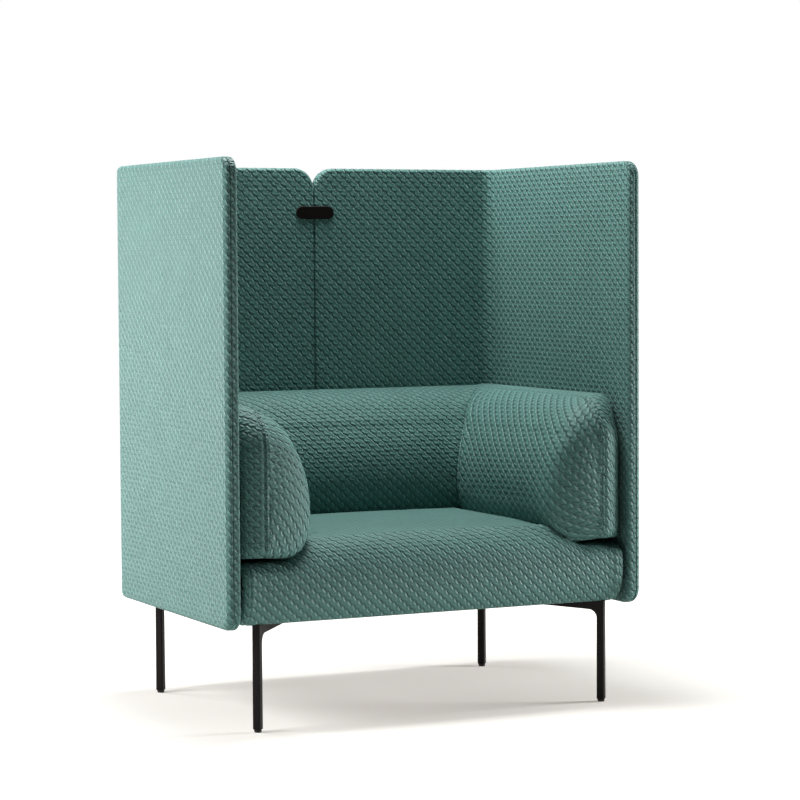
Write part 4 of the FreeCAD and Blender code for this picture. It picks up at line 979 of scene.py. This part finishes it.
seat_lines = [seat_profile(x, 0.0) for x in seat_columns]
seat_grid = [list(row) for row in zip(*seat_lines)]
front_row = len(SEAT_DEPTHS) + len(NOSE_TURNS) - 1
seat_cloth = cloth_flat(seat_grid, front_row, len(seat_columns) // 2)
panels = [(seat_grid, seat_cloth)]
for side in (1, -1):
    side_grid = [list(row) for row in zip(*side_columns(side))]
    panels.append((side_grid, cloth_flat(side_grid, front_row, 0, side)))
seat = sewn_piece("seat_cushion", panels)
HELD_UNDER, HELD_REAR, HELD_LEDGE = 0.014, 0.010, 0.008


def seat_held(place):
    """Where the seat is sewn at its corners, fixed under the frame, or pressed by the bolsters."""
    return (place.z < SEAT_FLOOR + HELD_UNDER or place.y > SEAT_REAR - HELD_REAR
            or abs(place.x) > SEAT_SEAM_X - HELD_SEAM
            or place.y > NOSE_START and place.z < SEAT_LEDGE + HELD_LEDGE)


plump(seat, seat_held)
for line in (seat_lines[0], seat_lines[-1]):
    draw_in(seat, finer(line, CREASE_PITCH), *SEAT_CREASE)
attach(seat, BODY)
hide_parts("seat_cover", "seat_foam", "seat_webbing")


# Legs and clip: steel, powder coated a warm brown black. Powder leaves a satin skin with a faint orange
# peel, so highlights are broad and slightly broken.

COAT_DARK, COAT_PALE = "#0b0606", "#150d0b"
PEEL_MM = 1.111
PATCH_MM = 40.0


def powder_coat():
    material, tree, shader = new_material("powder_coated_steel")
    place = add_node(tree, "TexCoord", output="Object")
    peel = add_node(tree, "TexNoise", {"Vector": place, "Scale": 1000 / PEEL_MM, "Detail": 2.0})
    patch = add_node(tree, "TexNoise", {"Vector": place, "Scale": 1000 / PATCH_MM, "Detail": 3.0})
    colour = add_node(tree, "Mix", {0: patch, 6: linear(COAT_DARK), 7: linear(COAT_PALE)}, 2, data_type="RGBA")
    rough = add_node(tree, "MapRange", {0: peel, 3: 0.40, 4: 0.54})
    bump = add_node(tree, "Bump", {"Height": peel, "Distance": 0.00012, "Strength": 0.6})
    tree.links.new(colour, shader.inputs["Base Color"])
    tree.links.new(rough, shader.inputs["Roughness"])
    tree.links.new(bump, shader.inputs["Normal"])
    shader.inputs["Specular IOR Level"].default_value = 0.22
    return material


def dress(material, *starts):
    """Give a material to the nodes whose names start so."""
    for name, shown in nodes.items():
        if name.startswith(starts):
            shown.data.materials.clear()
            shown.data.materials.append(material)


dress(powder_coat(), "leg_", "screen_clip_")


# Glides and fixings: moulded nylon pads on zinc-plated stems, and zinc-plated bolts, inserts and screws.
# Moulding leaves the nylon a fine even grain, and plating leaves the steel faintly spangled.

nylon = grained_material("moulded_nylon", "#141313", "#242221", 0.6667, 2.0, 0.55, (0.0001, 0.5))
zinc = grained_material("zinc_plated_steel", "#8f9192", "#b9bbba", 2.5, 3.0, (0.28, 0.46), metal=1.0)
dress(nylon, "glide_pad")
dress(zinc, "glide_stem", "frame_bolts", "frame_spacers", "bolster_bolts", "screen_inserts", "leg_screws",
      "screen_clip_screws")


# Hidden woodwork: birch plywood boards, rails and corner blocks. Rotary-cut birch is pale, with long
# soft streaks about ten times as long as they are wide.

birch = grained_material("birch_plywood", "#b8946a", "#e0c79d", 83.33, 5.0, 0.6, (0.0002, 0.4), (1.0, 10.0, 1.0))
dress(birch, "screen_board", "arm_board", "back_board", "seat_rail", "seat_corner")


# Dust cover: thin black non-woven cloth stretched under the seat frame and stapled to its rails. Bonded
# fibres give it a dry, slightly mottled look.

fleece = grained_material("bonded_polypropylene_cloth", "#121212", "#2b2b2b", 2.857, 3.0, 0.9, (0.0004, 0.6))
COVER_EDGE = 0.0007
COVER_SAG = 0.005
COVER_THICK = 0.0008
COVER_PITCH = 0.016
SAG_HALF_X, SAG_HALF_Y, SAG_POWER = 0.33, 0.20, 1.5
cover_place = COVER_HIGH.z - COVER_CLEAR - COVER_THICK
cover_grid = []
for y in steps(COVER_LOW.y + COVER_EDGE, COVER_HIGH.y - COVER_EDGE, COVER_PITCH):
    line = []
    for x in steps(COVER_LOW.x + COVER_EDGE, COVER_HIGH.x - COVER_EDGE, COVER_PITCH):
        slack = max(1 - (x / SAG_HALF_X) ** 2, 0) * max(1 - (y / SAG_HALF_Y) ** 2, 0)
        line.append((x, y, cover_place - COVER_SAG * slack ** SAG_POWER))
    cover_grid.append(line)
columns = len(cover_grid[0])
mesh = bpy.data.meshes.new("dust_cover")
mesh.from_pydata([point for line in cover_grid for point in line], [],
                 [[r * columns + c, r * columns + c + 1, (r + 1) * columns + c + 1, (r + 1) * columns + c]
                  for r in range(len(cover_grid) - 1) for c in range(columns - 1)])
mesh.materials.append(fleece)
dust_cover = bpy.data.objects.new("dust_cover", mesh)
scene.collection.objects.link(dust_cover)
pick(dust_cover)
bpy.ops.object.shade_smooth()
thicken = dust_cover.modifiers.new("thickness", "SOLIDIFY")
thicken.thickness = COVER_THICK
thicken.offset = 1.0


# Staples: flattened zinc wire crowns that hold the dust cover to the rails, clear of the legs. Each is
# pressed partly into the cloth.

STAPLE_LENGTH, STAPLE_WIDTH, STAPLE_THICK = 0.0100, 0.0012, 0.0006
STAPLE_INSET = 0.009
STAPLE_PITCH = 0.05
STAPLE_SUNK = 0.3
STAPLE_BEVEL = 0.00018
STAPLE_REACH_X, STAPLE_REACH_Y = 0.30, 0.175
staple_spots = []
for x in steps(-STAPLE_REACH_X, STAPLE_REACH_X, STAPLE_PITCH):
    staple_spots += [(x, COVER_LOW.y + STAPLE_INSET, 0.0), (x, COVER_HIGH.y - STAPLE_INSET, 0.0)]
for y in steps(-STAPLE_REACH_Y, STAPLE_REACH_Y, STAPLE_PITCH):
    staple_spots += [(COVER_LOW.x + STAPLE_INSET, y, 90.0), (COVER_HIGH.x - STAPLE_INSET, y, 90.0)]
crowns = []
for x, y, turn in staple_spots:
    pick()
    bpy.ops.mesh.primitive_cube_add(
        size=1, location=(x, y, cover_place - STAPLE_THICK * STAPLE_SUNK), rotation=(0, 0, math.radians(turn)),
        scale=(STAPLE_LENGTH, STAPLE_WIDTH, STAPLE_THICK))
    crowns.append(bpy.context.object)
pick(*crowns)
bpy.ops.object.join()
staples = bpy.context.object
staples.name = "dust_cover_staples"
bpy.ops.object.transform_apply(location=True, rotation=True, scale=True)
bpy.ops.object.mode_set(mode="EDIT")
bpy.ops.mesh.select_all(action="SELECT")
bpy.ops.mesh.bevel(offset=STAPLE_BEVEL, segments=2)
bpy.ops.object.mode_set(mode="OBJECT")
staples.data.materials.clear()
staples.data.materials.append(zinc)
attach(staples, BODY)
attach(dust_cover, BODY)
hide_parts("seat_dust_cover")


# Studio: a plain white floor that runs into a white backdrop behind and beside the sofa. Softboxes stand
# on the left, behind on the left as a rim light, overhead, and low on the right. The rest is dim.

FLOOR_SIZE = 60
GLOW_NEAR, GLOW_FROM, GLOW_TO = 0.28, 0.9, 2.6
GLOW_WARM = "#fff1e2"
WHITE = (1, 1, 1, 1)
pick()
bpy.ops.mesh.primitive_plane_add(size=FLOOR_SIZE, location=(0, 0, 0))
floor = bpy.context.object
floor.name = "studio_floor"
floor_paint = grained_material("matt_white_floor_paint", "#f0eeeb", "#f5f3f0", 333.3, 2.0, 0.9)
tree = floor_paint.node_tree
shader = tree.nodes["Principled BSDF"]
shader.inputs["Specular IOR Level"].default_value = 0.0
# Seen directly, the floor glows, faint and warm near the sofa, which lightens and warms its shadow there,
# and fully white away from the sofa, where it fades into the white of the backdrop.
place = add_node(tree, "TexCoord", output="Object")
from_middle = add_node(tree, "VectorMath", {0: place}, "Value", operation="LENGTH")
fade = add_node(tree, "MapRange", {0: from_middle, 1: GLOW_FROM, 2: GLOW_TO, 3: GLOW_NEAR, 4: 1.0},
                interpolation_type="SMOOTHSTEP")
direct = add_node(tree, "LightPath", output="Is Camera Ray")
glow = add_node(tree, "Math", {0: fade, 1: direct}, operation="MULTIPLY")
tree.links.new(glow, shader.inputs["Emission Strength"])
warm = add_node(tree, "Mix", {0: fade, 6: linear(GLOW_WARM), 7: WHITE}, 2, data_type="RGBA")
tree.links.new(warm, shader.inputs["Emission Color"])
floor.data.materials.append(floor_paint)

FILL_LEVEL = 0.02
BACKDROP_FROM, BACKDROP_TO = -0.2, 0.3
scene.world = bpy.data.worlds.new("studio")
scene.world.use_nodes = True
tree = scene.world.node_tree
tree.nodes.clear()
path = add_node(tree, "LightPath").node.outputs
facing = add_node(tree, "SeparateXYZ", {0: add_node(tree, "TexCoord", output="Generated")}, 1)
backdrop = add_node(tree, "MapRange", {0: facing, 1: BACKDROP_FROM, 2: BACKDROP_TO, 3: 0.0, 4: 1.0})
mirrored = add_node(tree, "Math", {0: path["Is Glossy Ray"], 1: path["Is Transmission Ray"]}, operation="MAXIMUM")
mirrored = add_node(tree, "Math", {0: mirrored, 1: backdrop}, operation="MULTIPLY")
seen = add_node(tree, "Math", {0: path["Is Camera Ray"], 1: mirrored}, operation="MAXIMUM")
strength = add_node(tree, "MapRange", {0: seen, 3: FILL_LEVEL, 4: 1.0})
sky = add_node(tree, "Background", {"Color": WHITE, "Strength": strength})
add_node(tree, "OutputWorld", {"Surface": sky})


def softbox(name, place, aim, size, level):
    """Square softbox; level 1 lights a white card at its aim to full white."""
    lamp = bpy.data.lights.new(name, "AREA")
    lamp.shape = "SQUARE"
    lamp.size = size
    away = Vector(place) - Vector(aim)
    lamp.energy = level * math.pi ** 2 * away.length_squared
    light = bpy.data.objects.new(name, lamp)
    light.location = place
    light.rotation_euler = away.to_track_quat("Z", "Y").to_euler()
    light.visible_camera = False
    scene.collection.objects.link(light)


softbox("left_softbox", (-2.6, 0.1, 1.7), (-0.5, 0.0, 0.8), 1.6, 1.28)
softbox("rim_softbox", (-2.2, 2.6, 1.0), (-0.56, 0.0, 0.8), 1.2, 0.62)
softbox("top_softbox", (0.0, 0.26, 2.9), (0.0, 0.05, 0.8), 1.0, 1.58)
softbox("right_softbox", (2.6, -0.9, 0.8), (0.2, -0.2, 0.5), 0.8, 1.05)


# Camera: at the photograph's place and viewing angle. Both were fitted to the sofa's edges and feet in
# the picture, so the focal length is in its pixels.

CAMERA_PLACE = (-2.8696, -6.1059, 1.1247)
CAMERA_YAW, CAMERA_PITCH, CAMERA_ROLL = 25.760, 3.102, -0.350
CAMERA_FOCAL_PX = 2649.5
IMAGE_PX = 800
camera = bpy.data.cameras.new("camera")
camera.sensor_fit = "AUTO"
camera.sensor_width = 36.0
camera.lens = camera.sensor_width * CAMERA_FOCAL_PX / IMAGE_PX
camera.clip_end = 200.0
view = bpy.data.objects.new("camera", camera)
yaw, pitch, roll = (math.radians(turn) for turn in (CAMERA_YAW, CAMERA_PITCH, CAMERA_ROLL))
ahead = Vector((math.sin(yaw) * math.cos(pitch), math.cos(yaw) * math.cos(pitch), -math.sin(pitch)))
level_right = Vector((math.cos(yaw), -math.sin(yaw), 0))
level_up = level_right.cross(ahead)
right = level_right * math.cos(roll) + level_up * math.sin(roll)
up = level_up * math.cos(roll) - level_right * math.sin(roll)
view.matrix_world = Matrix.Translation(CAMERA_PLACE) @ Matrix((right, up, -ahead)).transposed().to_4x4()
scene.collection.objects.link(view)
scene.camera = view
scene.view_settings.view_transform = "Standard"

bpy.context.view_layer.update()
